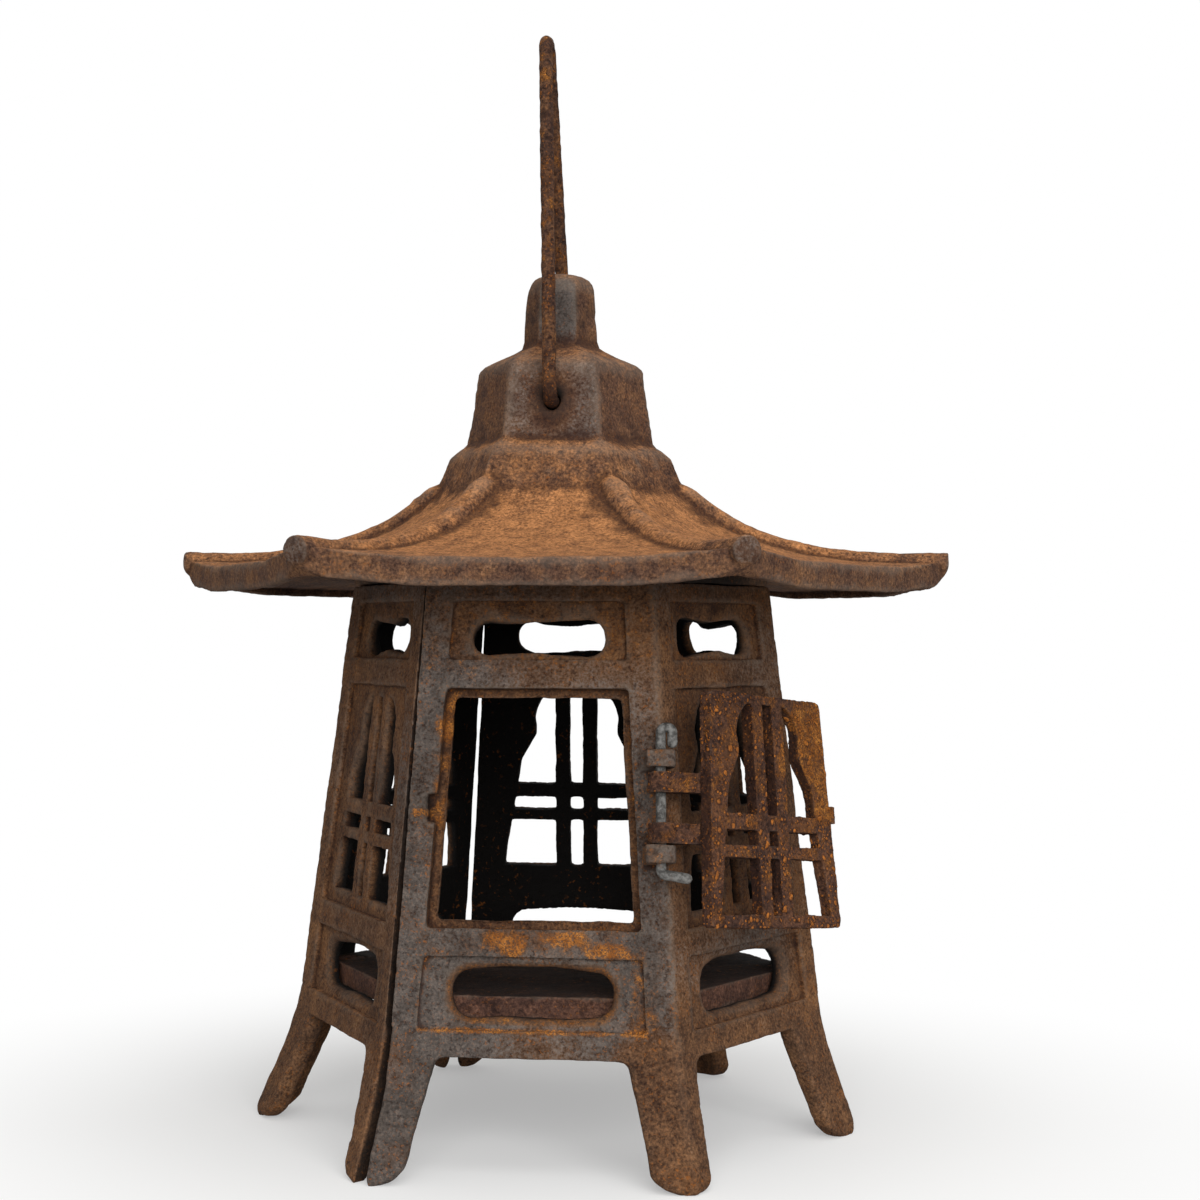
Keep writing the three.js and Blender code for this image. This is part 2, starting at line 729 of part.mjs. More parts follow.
// The bail about its own axis: two stubs in the roof's holes, straight legs and a round crown
function bailPiece() {
  const rise = bailHeight - bailRadius - bailCrownBend;
  const slant = Math.atan2(bailFootReach, rise) - Math.asin(bailCrownBend / Math.hypot(bailFootReach, rise));
  const crown = bailFootReach / Math.tan(slant);
  const holeFace = cornerToFace * (upperTierRadius(bailAxis) - roofWall);
  const path = bentPath([
    [bailStub - holeFace, 0],
    [-bailFootReach, 0, bailFootBend],
    [0, crown, bailCrownBend],
    [bailFootReach, 0, bailFootBend],
    [holeFace - bailStub, 0],
  ]);
  return rod(path, bailRadius, rodSides).rotateX(Math.PI / 2).rotateZ(Math.PI / 2);
}

function upperTierRadius(height) {
  const along = (height - upperTierFoot) / upperTierHeight;
  return THREE.MathUtils.lerp(upperTierFootRadius, upperTierHeadRadius, along);
}

// The slope from the eave to the lower tier, as corner radius and height
const slopeCurve = new THREE.QuadraticBezierCurve(
  flat(eaveRadius, eaveHead),
  flat(lowerTierFootRadius + slopeBendInset, eaveHead + slopeBendRise),
  flat(lowerTierFootRadius, slopeHead),
);

function liftAt(radius) {
  const share = Math.max(0, (radius - cornerLiftStart) / (eaveRadius - cornerLiftStart));
  return cornerLift * share ** 2;
}

function roofRing(radius, height) {
  return hexRing(radius, height, eaveSteps, liftAt(radius));
}

// A half-round ridge runs down each corner of the slope and ends in a disc at the eave
function ridge(angle) {
  const path = slopeCurve.getPoints(slopeSteps).map((point) => {
    return flat(point.x, point.y + liftAt(point.x) - ridgeSink);
  });
  const tip = path[0].clone();
  tip.x += ridgeOverhang;
  const root = flat(lowerTierHeadRadius - roofWall / 2, slopeHead);
  const whole = rod([root, ...path.reverse(), tip], ridgeRadius, rodSides);
  return whole.rotateX(Math.PI / 2).rotateZ(angle);
}

function roofPiece(screwAngles) {
  const slope = slopeCurve.getPoints(slopeSteps);
  const knobTop = knobHead + knobDome;
  const dome = new THREE.QuadraticBezierCurve(
    flat(knobHeadRadius, knobHead),
    flat(knobHeadRadius, knobTop),
    flat(knobCrownRadius, knobTop),
  );
  const outer = [
    flat(eaveRadius, eaveFoot),
    ...slope,
    flat(lowerTierHeadRadius, lowerTierHead),
    flat(upperTierFootRadius, upperTierFoot),
    flat(upperTierHeadRadius, upperTierHead),
    flat(knobFootRadius, knobFoot),
    ...dome.getPoints(curveSteps),
  ];
  const lip = eaveRadius - fasciaWall;
  const underSlope = slope.filter((point) => point.x < lip - fasciaWall);
  const inner = [
    flat(lip, eaveFoot - past),
    flat(lip, eaveHead - roofWall),
    ...underSlope.map((point) => flat(point.x, point.y - roofWall)),
    flat(lowerTierHeadRadius - roofWall, lowerTierHead - roofWall),
    flat(upperTierFootRadius - roofWall, upperTierFoot - roofWall / 2),
    flat(upperTierHeadRadius - roofWall, upperTierHead - roofWall),
  ];
  const skin = (profile) => solid(loft(profile.map((point) => roofRing(point.x, point.y))));
  const ridges = Array.from({ length: sideCount }, (_, side) => solid(ridge(side * sideAngle)));
  const rim = solid(loft([hexRing(bodyTopRadius, roofSeat), hexRing(bodyTopRadius, slopeHead)]));
  const well = bodyTopRadius - seatWidth;
  const bore = solid(loft([hexRing(well, roofSeat - past), hexRing(well, slopeHead + past)]));
  const bossRadial = lugScrewRadius(bodyHeight);
  const bosses = screwAngles.map((angle) =>
    solid(upright(bossRadius, roofSeat, slopeHead).translate(bossRadial, 0, 0).rotateZ(angle)),
  );
  const holes = screwAngles.map((angle) => {
    const hole = upright(screwRadius + fastenerClearance, roofSeat - past, roofSeat + bossDepth);
    return solid(hole.translate(bossRadial, 0, 0).rotateZ(angle));
  });
  const bailHole = upright(bailRadius + bailClearance, -eaveRadius, eaveRadius);
  holes.push(solid(bailHole.rotateX(Math.PI / 2).translate(0, 0, bailAxis)));
  const hollow = [rim.subtract(bore), ...bosses].reduce((rest, piece) => rest.subtract(piece), skin(inner));
  const shell = joined([skin(outer), ...ridges]).subtract(hollow);
  return geometryOf(holes.reduce((rest, hole) => rest.subtract(hole), shell));
}

// A solid of revolution from a profile of radius and height that starts and ends on the axis
function turned(profile) {
  const points = profile.map(([radius, height]) => flat(radius, height));
  return new THREE.LatheGeometry(points, roundSides).rotateX(Math.PI / 2);
}

// A turned screw with a driver slot across its head
function slotted(profile, headTop, turn) {
  const slot = new THREE.BoxGeometry(4 * screwHeadRadius, screwSlotWidth, 2 * screwSlotDepth);
  slot.translate(0, 0, headTop);
  return geometryOf(solid(turned(profile)).subtract(solid(slot))).rotateZ(turn);
}

// Round-headed screw that points up, with its bearing face at height 0
function roofScrew(turn) {
  const length = seatGap + lugThickness + seatGap + screwBite;
  const profile = [
    [0, -screwHeadHeight],
    [screwCrownRadius, -screwHeadHeight],
    [screwHeadRadius, -screwHeadHeight / 2],
    [screwHeadRadius, 0],
    [screwRadius, 0],
    [screwRadius, length - screwTip],
    [screwRadius - screwTip, length],
    [0, length],
  ];
  return slotted(profile, -screwHeadHeight, turn);
}

// Countersunk screw that points down, with the top of its head at height 0
function floorScrew(turn) {
  const length = floorThickness + lugThickness + nutHeight + 3 * seatGap + screwTail;
  const profile = [
    [0, -length],
    [screwRadius - screwTip, -length],
    [screwRadius, screwTip - length],
    [screwRadius, -countersinkDepth],
    [screwHeadRadius, -countersinkRim],
    [screwHeadRadius, 0],
    [0, 0],
  ];
  return slotted(profile, 0, turn);
}

function nutPiece() {
  const corner = nutHalfWidth / cornerToFace;
  const shape = new THREE.Shape(hexRing(corner, 0).map((point) => flat(point.x, point.y)));
  const hole = new THREE.Path();
  hole.absarc(0, 0, screwRadius + fastenerClearance, 0, 2 * Math.PI);
  shape.holes.push(hole);
  return slab(shape, 0, nutHeight, eyeSteps);
}

// Hexagonal floor inside the walls, with a countersunk hole at each lug
function floorPiece(screwAngles) {
  const corner = innerRadius(floorTop) - floorClearance;
  const plate = solid(loft([hexRing(corner, floorTop - floorThickness), hexRing(corner, floorTop)]));
  const shank = screwRadius + fastenerClearance;
  const rim = screwHeadRadius + fastenerClearance;
  const profile = [
    [0, -floorThickness - past],
    [shank, -floorThickness - past],
    [shank, -countersinkDepth - fastenerClearance],
    [rim, -countersinkRim - fastenerClearance],
    [rim, past],
    [0, past],
  ];
  const drilled = screwAngles.reduce((rest, angle) => {
    const place = around(lugScrewRadius(lowerLugTop), angle, floorTop);
    return rest.subtract(solid(turned(profile).translate(place.x, place.y, place.z)));
  }, plate);
  return geometryOf(drilled);
}

const roofIron = new THREE.MeshStandardMaterial({ color: 0x6b4228, roughness: 0.92, metalness: 0.25 });
const bodyIron = new THREE.MeshStandardMaterial({ color: 0x4e4038, roughness: 0.88, metalness: 0.3 });
const doorIron = new THREE.MeshStandardMaterial({ color: 0x5a3720, roughness: 0.95, metalness: 0.2 });
const rodIron = new THREE.MeshStandardMaterial({ color: 0x4a3529, roughness: 0.9, metalness: 0.3 });
const zincWire = new THREE.MeshStandardMaterial({ color: 0x8b8f90, roughness: 0.6, metalness: 0.7 });
const screwSteel = new THREE.MeshStandardMaterial({ color: 0x5b4a3e, roughness: 0.8, metalness: 0.5 });

const lantern = new THREE.Group();

function addPiece(name, geometry, material, parent = lantern) {
  const mesh = new THREE.Mesh(geometry, material);
  mesh.name = name;
  parent.add(mesh);
  return mesh;
}

const castingNames = ["front_casting", "rear_casting", "left_casting"];
const shell = bodyShell();

castingNames.forEach((name, number) => {
  let piece = casting(shell, number);
  if (number === 0) {
    const knuckles = [lowerKnuckleFoot, upperKnuckleFoot].map((foot) => knuckle(panelFrame(0), foot));
    piece = joined([piece, ...knuckles]);
  }
  addPiece(name, geometryOf(piece), bodyIron);
});

addPiece("roof", roofPiece(foldAngles), roofIron);
const bail = addPiece("bail", bailPiece(), rodIron);
bail.position.z = bailAxis;
bail.rotation.y = -THREE.MathUtils.degToRad(bailLean);
addPiece("floor_plate", floorPiece(foldAngles), bodyIron);

const hinge = new THREE.Group();
hinge.applyMatrix4(hingeFrame());
lantern.add(hinge);
addPiece("hinge_pin", pinPiece(), zincWire, hinge);
const door = addPiece("door", doorPiece(), doorIron, hinge);
door.rotation.y = THREE.MathUtils.degToRad(doorAngle);

foldAngles.forEach((angle, i) => {
  const upper = around(lugScrewRadius(bodyHeight), angle, upperLugFoot - seatGap);
  const lower = around(lugScrewRadius(lowerLugTop), angle, floorTop - seatGap / 2);
  const nutHead = lowerLugFoot - seatGap;
  const turn = (i * Math.PI) / 5;
  addPiece(`roof_screw_${i + 1}`, roofScrew(turn), screwSteel).position.copy(upper);
  addPiece(`floor_screw_${i + 1}`, floorScrew(turn), screwSteel).position.copy(lower);
  addPiece(`floor_nut_${i + 1}`, nutPiece(), screwSteel).position.copy(lower).setZ(nutHead - nutHeight);
});

export default lantern;
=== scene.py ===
# %% [markdown]
# # A rusted cast iron temple lantern
#
# The lantern stands on six splayed legs. Three iron castings make its six-sided body, a stepped
# roof sits on them, and a rod bail hangs the whole thing up. A lattice door stands wide open on a
# wire pin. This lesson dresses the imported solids: it keeps their places and sizes, and gives them
# the rounded, lumpy skin of old sand castings and the colours of many wet years outdoors.

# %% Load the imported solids
import math

import bpy
import numpy as np
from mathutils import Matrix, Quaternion, Vector


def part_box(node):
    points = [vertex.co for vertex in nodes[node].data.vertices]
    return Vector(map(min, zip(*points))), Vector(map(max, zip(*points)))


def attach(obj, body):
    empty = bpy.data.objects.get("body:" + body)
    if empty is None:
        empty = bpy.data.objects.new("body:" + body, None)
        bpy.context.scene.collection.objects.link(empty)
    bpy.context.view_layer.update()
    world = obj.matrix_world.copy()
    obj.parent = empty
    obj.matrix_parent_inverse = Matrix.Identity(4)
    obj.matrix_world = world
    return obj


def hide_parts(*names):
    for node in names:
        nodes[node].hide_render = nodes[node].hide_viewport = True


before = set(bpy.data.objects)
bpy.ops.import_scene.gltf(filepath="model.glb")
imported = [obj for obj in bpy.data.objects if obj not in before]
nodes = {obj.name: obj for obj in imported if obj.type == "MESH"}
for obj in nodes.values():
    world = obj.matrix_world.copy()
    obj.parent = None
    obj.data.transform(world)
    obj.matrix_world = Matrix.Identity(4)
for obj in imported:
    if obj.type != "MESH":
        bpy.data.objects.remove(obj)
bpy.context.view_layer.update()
MM = 0.001

# %% [markdown]
# ## The camera
#
# The picture was taken from close by, a little to the right of the door and at half the lantern's
# height. A camera could be placed by eye, but the vanishing of the eaves and legs gives it away,
# so its distance, height and turn are written as measured numbers. The lantern's axis stands left
# of the picture's middle. A small lens shift does that without turning the camera.

# %% Camera
IMAGE_SIDE = 1200
SENSOR_WIDTH = 36
focal_pixels = 2032
axis_column = 559.4
camera_distance = 671.5 * MM
camera_height = 159.1 * MM
camera_azimuth = math.radians(6.02)
camera_pitch = math.radians(1.07)
camera_roll = math.radians(0.26)

lens = bpy.data.cameras.new("camera")
lens.sensor_width = SENSOR_WIDTH
lens.lens = SENSOR_WIDTH * focal_pixels / IMAGE_SIDE
lens.shift_x = 0.5 - axis_column / IMAGE_SIDE
lens.clip_start = 0.01
camera = bpy.data.objects.new("camera", lens)
outwards = Vector((math.sin(camera_azimuth), -math.cos(camera_azimuth), 0))
camera.location = camera_distance * outwards + Vector((0, 0, camera_height))
look = Vector((0, 0, math.sin(camera_pitch))) - math.cos(camera_pitch) * outwards
camera.rotation_mode = "QUATERNION"
camera.rotation_quaternion = look.to_track_quat("-Z", "Y") @ Quaternion((0, 0, 1), camera_roll)
bpy.context.scene.collection.objects.link(camera)
bpy.context.scene.camera = camera
print("camera", np.round(camera.location, 4), "lens", round(lens.lens, 2))

# %% [markdown]
# ## Shader sums as Python sums
#
# Rust is many thin layers, and each layer is a mask worked out from other masks. Wiring that by
# hand takes a long list of nodes. One small class wraps an output socket instead, so that
# `1 - mask * grain` adds the Math nodes by itself. Every other node comes from its `node` method.


# %% A socket that does sums
class Wire:
    """One output socket. Sums, products and powers of it add Math nodes to its tree."""

    def __init__(self, tree, socket=None):
        self.tree = tree
        self.socket = socket

    def node(self, kind, settings=None, feeds=None, output=0):
        """Adds a node, sets its settings or ramp stops, then feeds sockets with values or wires."""
        made = self.tree.nodes.new(kind)
        for key, value in (settings or {}).items():
            if key == "stops":
                ramp = made.color_ramp.elements
                while len(ramp) < len(value):
                    ramp.new(1)
                for element, (place, colour) in zip(ramp, value):
                    element.position = place
                    element.color = colour
            else:
                setattr(made, key, value)
        for key, value in (feeds or {}).items():
            if isinstance(value, Wire):
                self.tree.links.new(value.socket, made.inputs[key])
            else:
                made.inputs[key].default_value = value
        return Wire(self.tree, made.outputs[output] if made.outputs else None)

    def sum(self, operation, first, second):
        """A Math node on two wires or numbers."""
        return self.node("ShaderNodeMath", {"operation": operation}, {0: first, 1: second})

    def __add__(self, other):
        return self.sum("ADD", self, other)

    def __sub__(self, other):
        return self.sum("SUBTRACT", self, other)

    def __rsub__(self, other):
        return self.sum("SUBTRACT", other, self)

    def __mul__(self, other):
        return self.sum("MULTIPLY", self, other)

    __radd__ = __add__
    __rmul__ = __mul__

    def most(self, other):
        """The larger of the two."""
        return self.sum("MAXIMUM", self, other)

    def step(self, low, high):
        """Rises smoothly from 0 where this is low to 1 where it is high."""
        settings = {"interpolation_type": "SMOOTHSTEP"}
        return self.node("ShaderNodeMapRange", settings, {0: self, 1: low, 2: high})

    def tint(self, below, above):
        """The colour below where this is 0, and the colour above where it is 1."""
        return self.node("ShaderNodeMix", {"data_type": "RGBA"}, {0: self, 6: below, 7: above}, 2)

    def shaded(self, light):
        """This colour times a number."""
        settings = {"data_type": "RGBA", "blend_type": "MULTIPLY", "clamp_result": False}
        return self.node("ShaderNodeMix", settings, {0: 1.0, 6: self, 7: light}, 2)

    def noise(self, size, detail=4, roughness=0.55):
        """Cloudy noise from 0 to 1 on these coordinates, with features of that size."""
        feeds = {"Vector": self, "Scale": 1 / size, "Detail": detail, "Roughness": roughness}
        return self.node("ShaderNodeTexNoise", None, feeds)

    def seeds(self, size):
        """The distance to the nearest of scattered seeds, in cells of that size, and its own number."""
        cells = self.node("ShaderNodeTexVoronoi", None, {"Vector": self, "Scale": 1 / size}).socket.node
        return Wire(self.tree, cells.outputs["Distance"]), Wire(self.tree, cells.outputs["Color"])

    def attribute(self, name):
        """A number that each point of the mesh carries; 0 where the mesh has none."""
        return self.node("ShaderNodeAttribute", {"attribute_name": name}, None, "Fac")


def rgb(red, green, blue):
    """A colour that hides what is behind it."""
    return (red, green, blue, 1)


def start_finish(name):
    """A new material with an empty tree, and a wire to build it from."""
    finish = bpy.data.materials.new(name)
    finish.use_nodes = True
    finish.node_tree.nodes.clear()
    return finish, Wire(finish.node_tree)


def close_finish(wire, shader):
    """Sends a shader to the material's output."""
    wire.node("ShaderNodeOutputMaterial", None, {"Surface": shader})


print("sums ready")

# %% [markdown]
# ## Floor and light
#
# The picture shows the lantern cut out on white, lit softly from above and from the front right:
# the roof is bright, the wall under the eaves is dark, and the left panel is dim. A closed studio
# could be built, but a plain floor, a pale world and two large lamps give the same. The floor takes
# the shadow near the legs and fades to white further out. Only the camera, reflections and clear
# things see the world as white.


# %% Floor, world and lamps
def seen_directly(wire):
    """1 for rays from the camera, and for reflected or transmitted ones, otherwise 0."""
    path = wire.node("ShaderNodeLightPath").socket.node
    kinds = ("Camera", "Glossy", "Transmission")
    camera_ray, glossy, clear = [Wire(wire.tree, path.outputs[f"Is {kind} Ray"]) for kind in kinds]
    return camera_ray.most(glossy).most(clear)


floor_half = 6.0
corners = np.array([[-1, -1, 0], [1, -1, 0], [1, 1, 0], [-1, 1, 0]]) * floor_half
floor_mesh = bpy.data.meshes.new("floor")
floor_mesh.from_pydata(corners.tolist(), [], [[0, 1, 2, 3]])
floor = bpy.data.objects.new("floor", floor_mesh)
bpy.context.scene.collection.objects.link(floor)

pale, wire = start_finish("pale_floor")
place = wire.node("ShaderNodeTexCoord", None, None, "Object")
distance = place.node("ShaderNodeVectorMath", {"operation": "LENGTH"}, {0: place}, "Value")
seen = seen_directly(wire)
floor_colour = seen.tint(rgb(0.4, 0.4, 0.4), rgb(0.93, 0.93, 0.92))
matt = wire.node("ShaderNodeBsdfDiffuse", None, {"Color": floor_colour})
white = wire.node("ShaderNodeEmission", None, {"Color": rgb(1, 1, 1), "Strength": 1})
fade = (0.35 + 0.65 * distance.step(0.1, 0.3)) * seen
close_finish(wire, wire.node("ShaderNodeMixShader", None, {0: fade, 1: matt, 2: white}))
floor_mesh.materials.append(pale)

world = bpy.data.worlds.new("pale_room")
bpy.context.scene.world = world
world.use_nodes = True
world.node_tree.nodes.clear()
wire = Wire(world.node_tree)
sky = wire.node("ShaderNodeBackground", None, {"Color": rgb(1, 0.99, 0.97), "Strength": 0.34})
backdrop = wire.node("ShaderNodeBackground", None, {"Color": rgb(1, 1, 1), "Strength": 1})
mixed = wire.node("ShaderNodeMixShader", None, {0: seen_directly(wire), 1: sky, 2: backdrop})
wire.node("ShaderNodeOutputWorld", None, {"Surface": mixed})


def soft_lamp(name, place, target, width, height, power):
    """A lamp of that width and height, in metres, aimed at a point."""
    lamp = bpy.data.lights.new(name, "AREA")
    lamp.shape = "RECTANGLE"
    lamp.size = width
    lamp.size_y = height
    lamp.energy = power
    lamp_object = bpy.data.objects.new(name, lamp)
    lamp_object.location = place
    aim = Vector(target) - Vector(place)
    lamp_object.rotation_euler = aim.to_track_quat("-Z", "Y").to_euler()
    bpy.context.scene.collection.objects.link(lamp_object)


soft_lamp("overhead", (0.2, -0.4, 1.8), (0, 0, 0.2), 1.4, 1.4, 13)
soft_lamp("front", (0.42, -1.55, 0.62), (0, 0, 0.15), 1.6, 0.9, 28)
view_settings = bpy.context.scene.view_settings
view_settings.view_transform = "Standard"

# %% [markdown]
# ## Rusted iron
#
# Close up, the iron is never one colour. Under everything lies a tight brown skin, mottled from
# umber to tan. Where the old grey casting skin still holds, it shows slate. Loose orange rust sits
# in specks and in crusts along wet ledges, pale dust lies on what faces up, grime darkens small
# hollows and edges are rubbed. Soot covers the inside. Some darkening is painted shade: inside the
# body and the roof, on the joints, in the rebate, the slot and the recesses behind the door, and on
# the walls of the door's lattice. Each of these could be a material of its own on its
# own faces, but their borders would show. So one function lays them over each other, and each piece
# says how much of what it has through numbers that its own points carry.


# %% Rust colours and blisters
SLATE = rgb(0.112, 0.103, 0.096)
SLATE_DARK = rgb(0.056, 0.049, 0.044)
ORANGE = rgb(0.33, 0.105, 0.017)
BRIGHT_ORANGE = rgb(0.62, 0.24, 0.045)
BLISTER = rgb(0.66, 0.22, 0.035)
WORN = rgb(0.2, 0.155, 0.12)
FILM = rgb(0.16, 0.062, 0.018)
DUST = rgb(0.47, 0.205, 0.075)
DUST_DARK = rgb(0.15, 0.064, 0.028)
DARK_RUST_AND_SHADE = rgb(0.024, 0.01, 0.007)
SOOT_AND_SHADE = rgb(0.006, 0.005, 0.0045)


def small_blisters(here):
    """1 - (distance / reach)^2 over some of the scattered seeds, more of them where they crowd."""
    wobble = here.node("ShaderNodeTexNoise", None, {"Vector": here, "Scale": 1 / (1.3 * MM)}, "Color")
    feeds = {0: wobble, 1: [0.9 * MM] * 3, 2: here}
    bent = here.node("ShaderNodeVectorMath", {"operation": "MULTIPLY_ADD"}, feeds)
    crowd = here.noise(11 * MM, 3) - 0.5
    domes = []
    for size in (1.7, 1.2):
        gap, own = bent.seeds(size * MM)
        share = gap.sum("DIVIDE", gap, 0.12 + 0.3 * own)
        domes.append((1 - share * share).most(0) * (own + 2.4 * crowd).step(0.52, 0.6))
    return domes[0].most(domes[1])


print("rust from", SOOT_AND_SHADE[:3], "to", BLISTER[:3])


# %% Iron finishes
def rusted_iron(name, browns, specks, bump, blisters=0.0):
    """Brown skin, then slate, dust, pits, worn edges, grime and painted shade, specks, crust, blisters, soot
    and painted shade on it.
    """
    finish, wire = start_finish(name)
    here = wire.node("ShaderNodeTexCoord", None, None, "Object")
    blotch = here.noise(24 * MM, 5)
    mottle = here.noise(5 * MM, 6, 0.65)
    grain = here.noise(0.9 * MM, 5, 0.7)
    slate, crust, dust, hollow, worn, soot = [
        wire.attribute(layer) for layer in ("slate", "crust", "dust", "hollow", "worn", "soot")
    ]
    tone = 0.5 * blotch + 0.6 * mottle + 0.4 * grain - 0.25
    stops = list(zip((0.32, 0.46, 0.58, 0.74), browns))
    colour = wire.node("ShaderNodeValToRGB", {"stops": stops}, {"Fac": tone})
    slate_tone = (0.6 * mottle + 0.4 * blotch).step(0.36, 0.64).tint(SLATE_DARK, SLATE)
    slate_mask = (slate + 0.9 * (mottle - 0.5) + 1.6 * (grain - 0.5)).step(0.2, 0.8)
    colour = (slate_mask * 0.85).tint(colour, slate_tone)
    dust_tone = (0.4 * grain + 0.6 * mottle).step(0.3, 0.68).tint(DUST_DARK, DUST)
    dusty = (dust + 0.7 * (mottle - 0.5) + 0.6 * (grain - 0.5)).step(0.05, 0.95)
    colour = (dusty * 0.9).tint(colour, dust_tone)
    colour = colour.shaded(0.6 + 0.8 * grain.step(0.3, 0.7))
    pits = here.noise(1.5 * MM, 4, 0.6).step(0.43, 0.33)
    colour = (pits * 0.6).tint(colour, DARK_RUST_AND_SHADE)
    colour = (worn * 0.28).tint(colour, WORN)
    # Dark rust and grime in hollows, plus painted shade in the body's rebate, slot and recesses and on the
    # door's lattice walls.
    colour = (hollow * 0.75).tint(colour, DARK_RUST_AND_SHADE)
    veil = here.noise(14 * MM, 4, 0.6)
    colour = (veil.step(0.5, 0.75) * specks * 0.5).tint(colour, FILM)
    speck = here.noise(0.85 * MM, 3).step(0.57, 0.67) * (0.25 + 0.75 * veil.step(0.42, 0.62))
    colour = (speck * specks).tint(colour, ORANGE)
    broken = 1.2 * here.noise(3.4 * MM, 5, 0.65) + 1.3 * grain - 1.25
    colour = ((crust + 0.9 * broken).step(0.1, 0.8) * 0.6).tint(colour, FILM)
    swirl = here.noise(1.2 * MM, 4, 0.6) - 0.5
    thread = swirl.sum("ABSOLUTE", swirl, 0).step(0.075, 0.015)
    crumbs = here.noise(0.55 * MM, 3).step(0.54, 0.64)
    crusted = thread.most(crumbs) * (crust + 1.3 * broken).step(0.3, 0.9)
    colour = (crusted * 0.85).tint(colour, mottle.step(0.4, 0.62).tint(ORANGE, BRIGHT_ORANGE))
    height = 0.9 * grain + 0.4 * mottle + 0.3 * crusted - 0.5 * pits
    if blisters:
        dome = small_blisters(here).most(wire.attribute("blister"))
        heat = (0.7 * grain + 0.3 * mottle).step(0.34, 0.66)
        rim = dome.step(0.0, 0.1) * dome.step(0.45, 0.15) * 0.65
        colour = (rim * (1 - hollow) * blisters).tint(colour, DARK_RUST_AND_SHADE)
        burst = dome.step(0.75, 0.95) * blotch.step(0.45, 0.55)
        glow = dome.step(0.18, 0.55) * (0.55 + 0.45 * heat) * (1 - 0.6 * burst)
        colour = (glow * (1 - hollow) * blisters).tint(colour, heat.tint(ORANGE, BLISTER))
        height = height + blisters * dome
    ember = here.noise(1.8 * MM, 4).step(0.58, 0.72) * veil.step(0.42, 0.66) * 0.5
    # Soot, and painted shade: the inside of the body, the roof's hollow, the plate's top and the joint faces
    # go nearly black.
    colour = soot.tint(colour, ember.tint(SOOT_AND_SHADE, ORANGE))
    rough = 0.8 + 0.2 * grain - 0.12 * slate_mask
    normal = wire.node("ShaderNodeBump", None, {"Strength": bump, "Distance": 0.9 * MM, "Height": height})
    feeds = {"Base Color": colour, "Roughness": rough, "Normal": normal, "Specular IOR Level": 0.14}
    close_finish(wire, wire.node("ShaderNodeBsdfPrincipled", None, feeds))
    return finish


def tones(*colours):
    """The stops of a ramp from the darkest to the lightest brown."""
    return [rgb(*colour) for colour in colours]


body_tones = tones((0.045, 0.022, 0.013), (0.105, 0.053, 0.028), (0.17, 0.083, 0.039), (0.26, 0.125, 0.048))
roof_tones = tones((0.037, 0.019, 0.014), (0.088, 0.045, 0.028), (0.14, 0.069, 0.035), (0.24, 0.11, 0.044))
door_tones = tones((0.022, 0.011, 0.009), (0.06, 0.03, 0.021), (0.11, 0.05, 0.028), (0.21, 0.085, 0.03))
# Darker browns for the floor plate inside the body, partly soot and partly painted shade. The screws share
# them.
floor_tones = tones((0.03, 0.015, 0.012), (0.07, 0.035, 0.025), (0.11, 0.053, 0.035), (0.16, 0.075, 0.042))
bail_tones = tones((0.02, 0.01, 0.008), (0.06, 0.03, 0.02), (0.12, 0.056, 0.027), (0.28, 0.118, 0.034))

body_iron = rusted_iron("body_iron", body_tones, 0.6, 0.7)
roof_iron = rusted_iron("roof_iron", roof_tones, 0.3, 0.5)
door_iron = rusted_iron("door_iron", door_tones, 0.75, 0.9, 0.9)
floor_iron = rusted_iron("floor_iron", floor_tones, 0.3, 0.5)
bail_iron = rusted_iron("bail_iron", bail_tones, 0.8, 1.0)
screw_steel = rusted_iron("screw_steel", floor_tones, 0.5, 0.4)
print("iron finishes:", [m.name for m in bpy.data.materials if len(m.node_tree.nodes) > 30])

# %% [markdown]
# ## Zinc wire
#
# The hinge pin is a later repair, a bit of fence wire. Its zinc coat has gone chalky and mottled,
# and rust has begun to come through. Two greys and a brown, mixed by noise, are enough.

# %% Zinc wire
zinc_wire, wire = start_finish("zinc_wire")
here = wire.node("ShaderNodeTexCoord", None, None, "Object")
chalk = here.noise(2.2 * MM, 5, 0.7)
grain = here.noise(0.7 * MM, 4)
colour = chalk.step(0.36, 0.64).tint(rgb(0.035, 0.033, 0.03), rgb(0.19, 0.185, 0.175))
colour = (here.noise(4.5 * MM, 4).step(0.58, 0.72) * 0.7).tint(colour, rgb(0.12, 0.06, 0.03))
rough = 0.5 + 0.35 * grain
feeds = {"Strength": 0.4, "Distance": 0.3 * MM, "Height": chalk + 0.5 * grain}
normal = wire.node("ShaderNodeBump", None, feeds)
feeds = {"Base Color": colour, "Roughness": rough, "Specular IOR Level": 0.25, "Normal": normal}
close_finish(wire, wire.node("ShaderNodeBsdfPrincipled", None, feeds))
print(zinc_wire.name, len(zinc_wire.node_tree.nodes), "nodes")

# %% [markdown]
# ## Noise on points
#
# A bump in a shader changes only the light. The uneven edges of the slots and the blisters on the
# door show against the sky, so they have to be in the mesh. Two kinds of noise, worked out on whole
# arrays of points, give them: cloudy lattice noise for lumps, and scattered seeds for blisters.


# %% Noise on arrays of points
def hashed(cell, seed):
    """A number from -1 to 1 fixed by three whole numbers and a seed: odd products, mixed by xor."""
    mixed = cell[:, 0] * 73856093 ^ cell[:, 1] * 19349663 ^ cell[:, 2] * 83492791 ^ seed * 50331653
    mixed = (mixed & 0xFFFFFFFF) * 668265263 & 0xFFFFFFFF
    mixed = (mixed ^ mixed >> 15) * 374761393 & 0xFFFFFFFF
    return (mixed ^ mixed >> 13) / 0x7FFFFFFF - 1


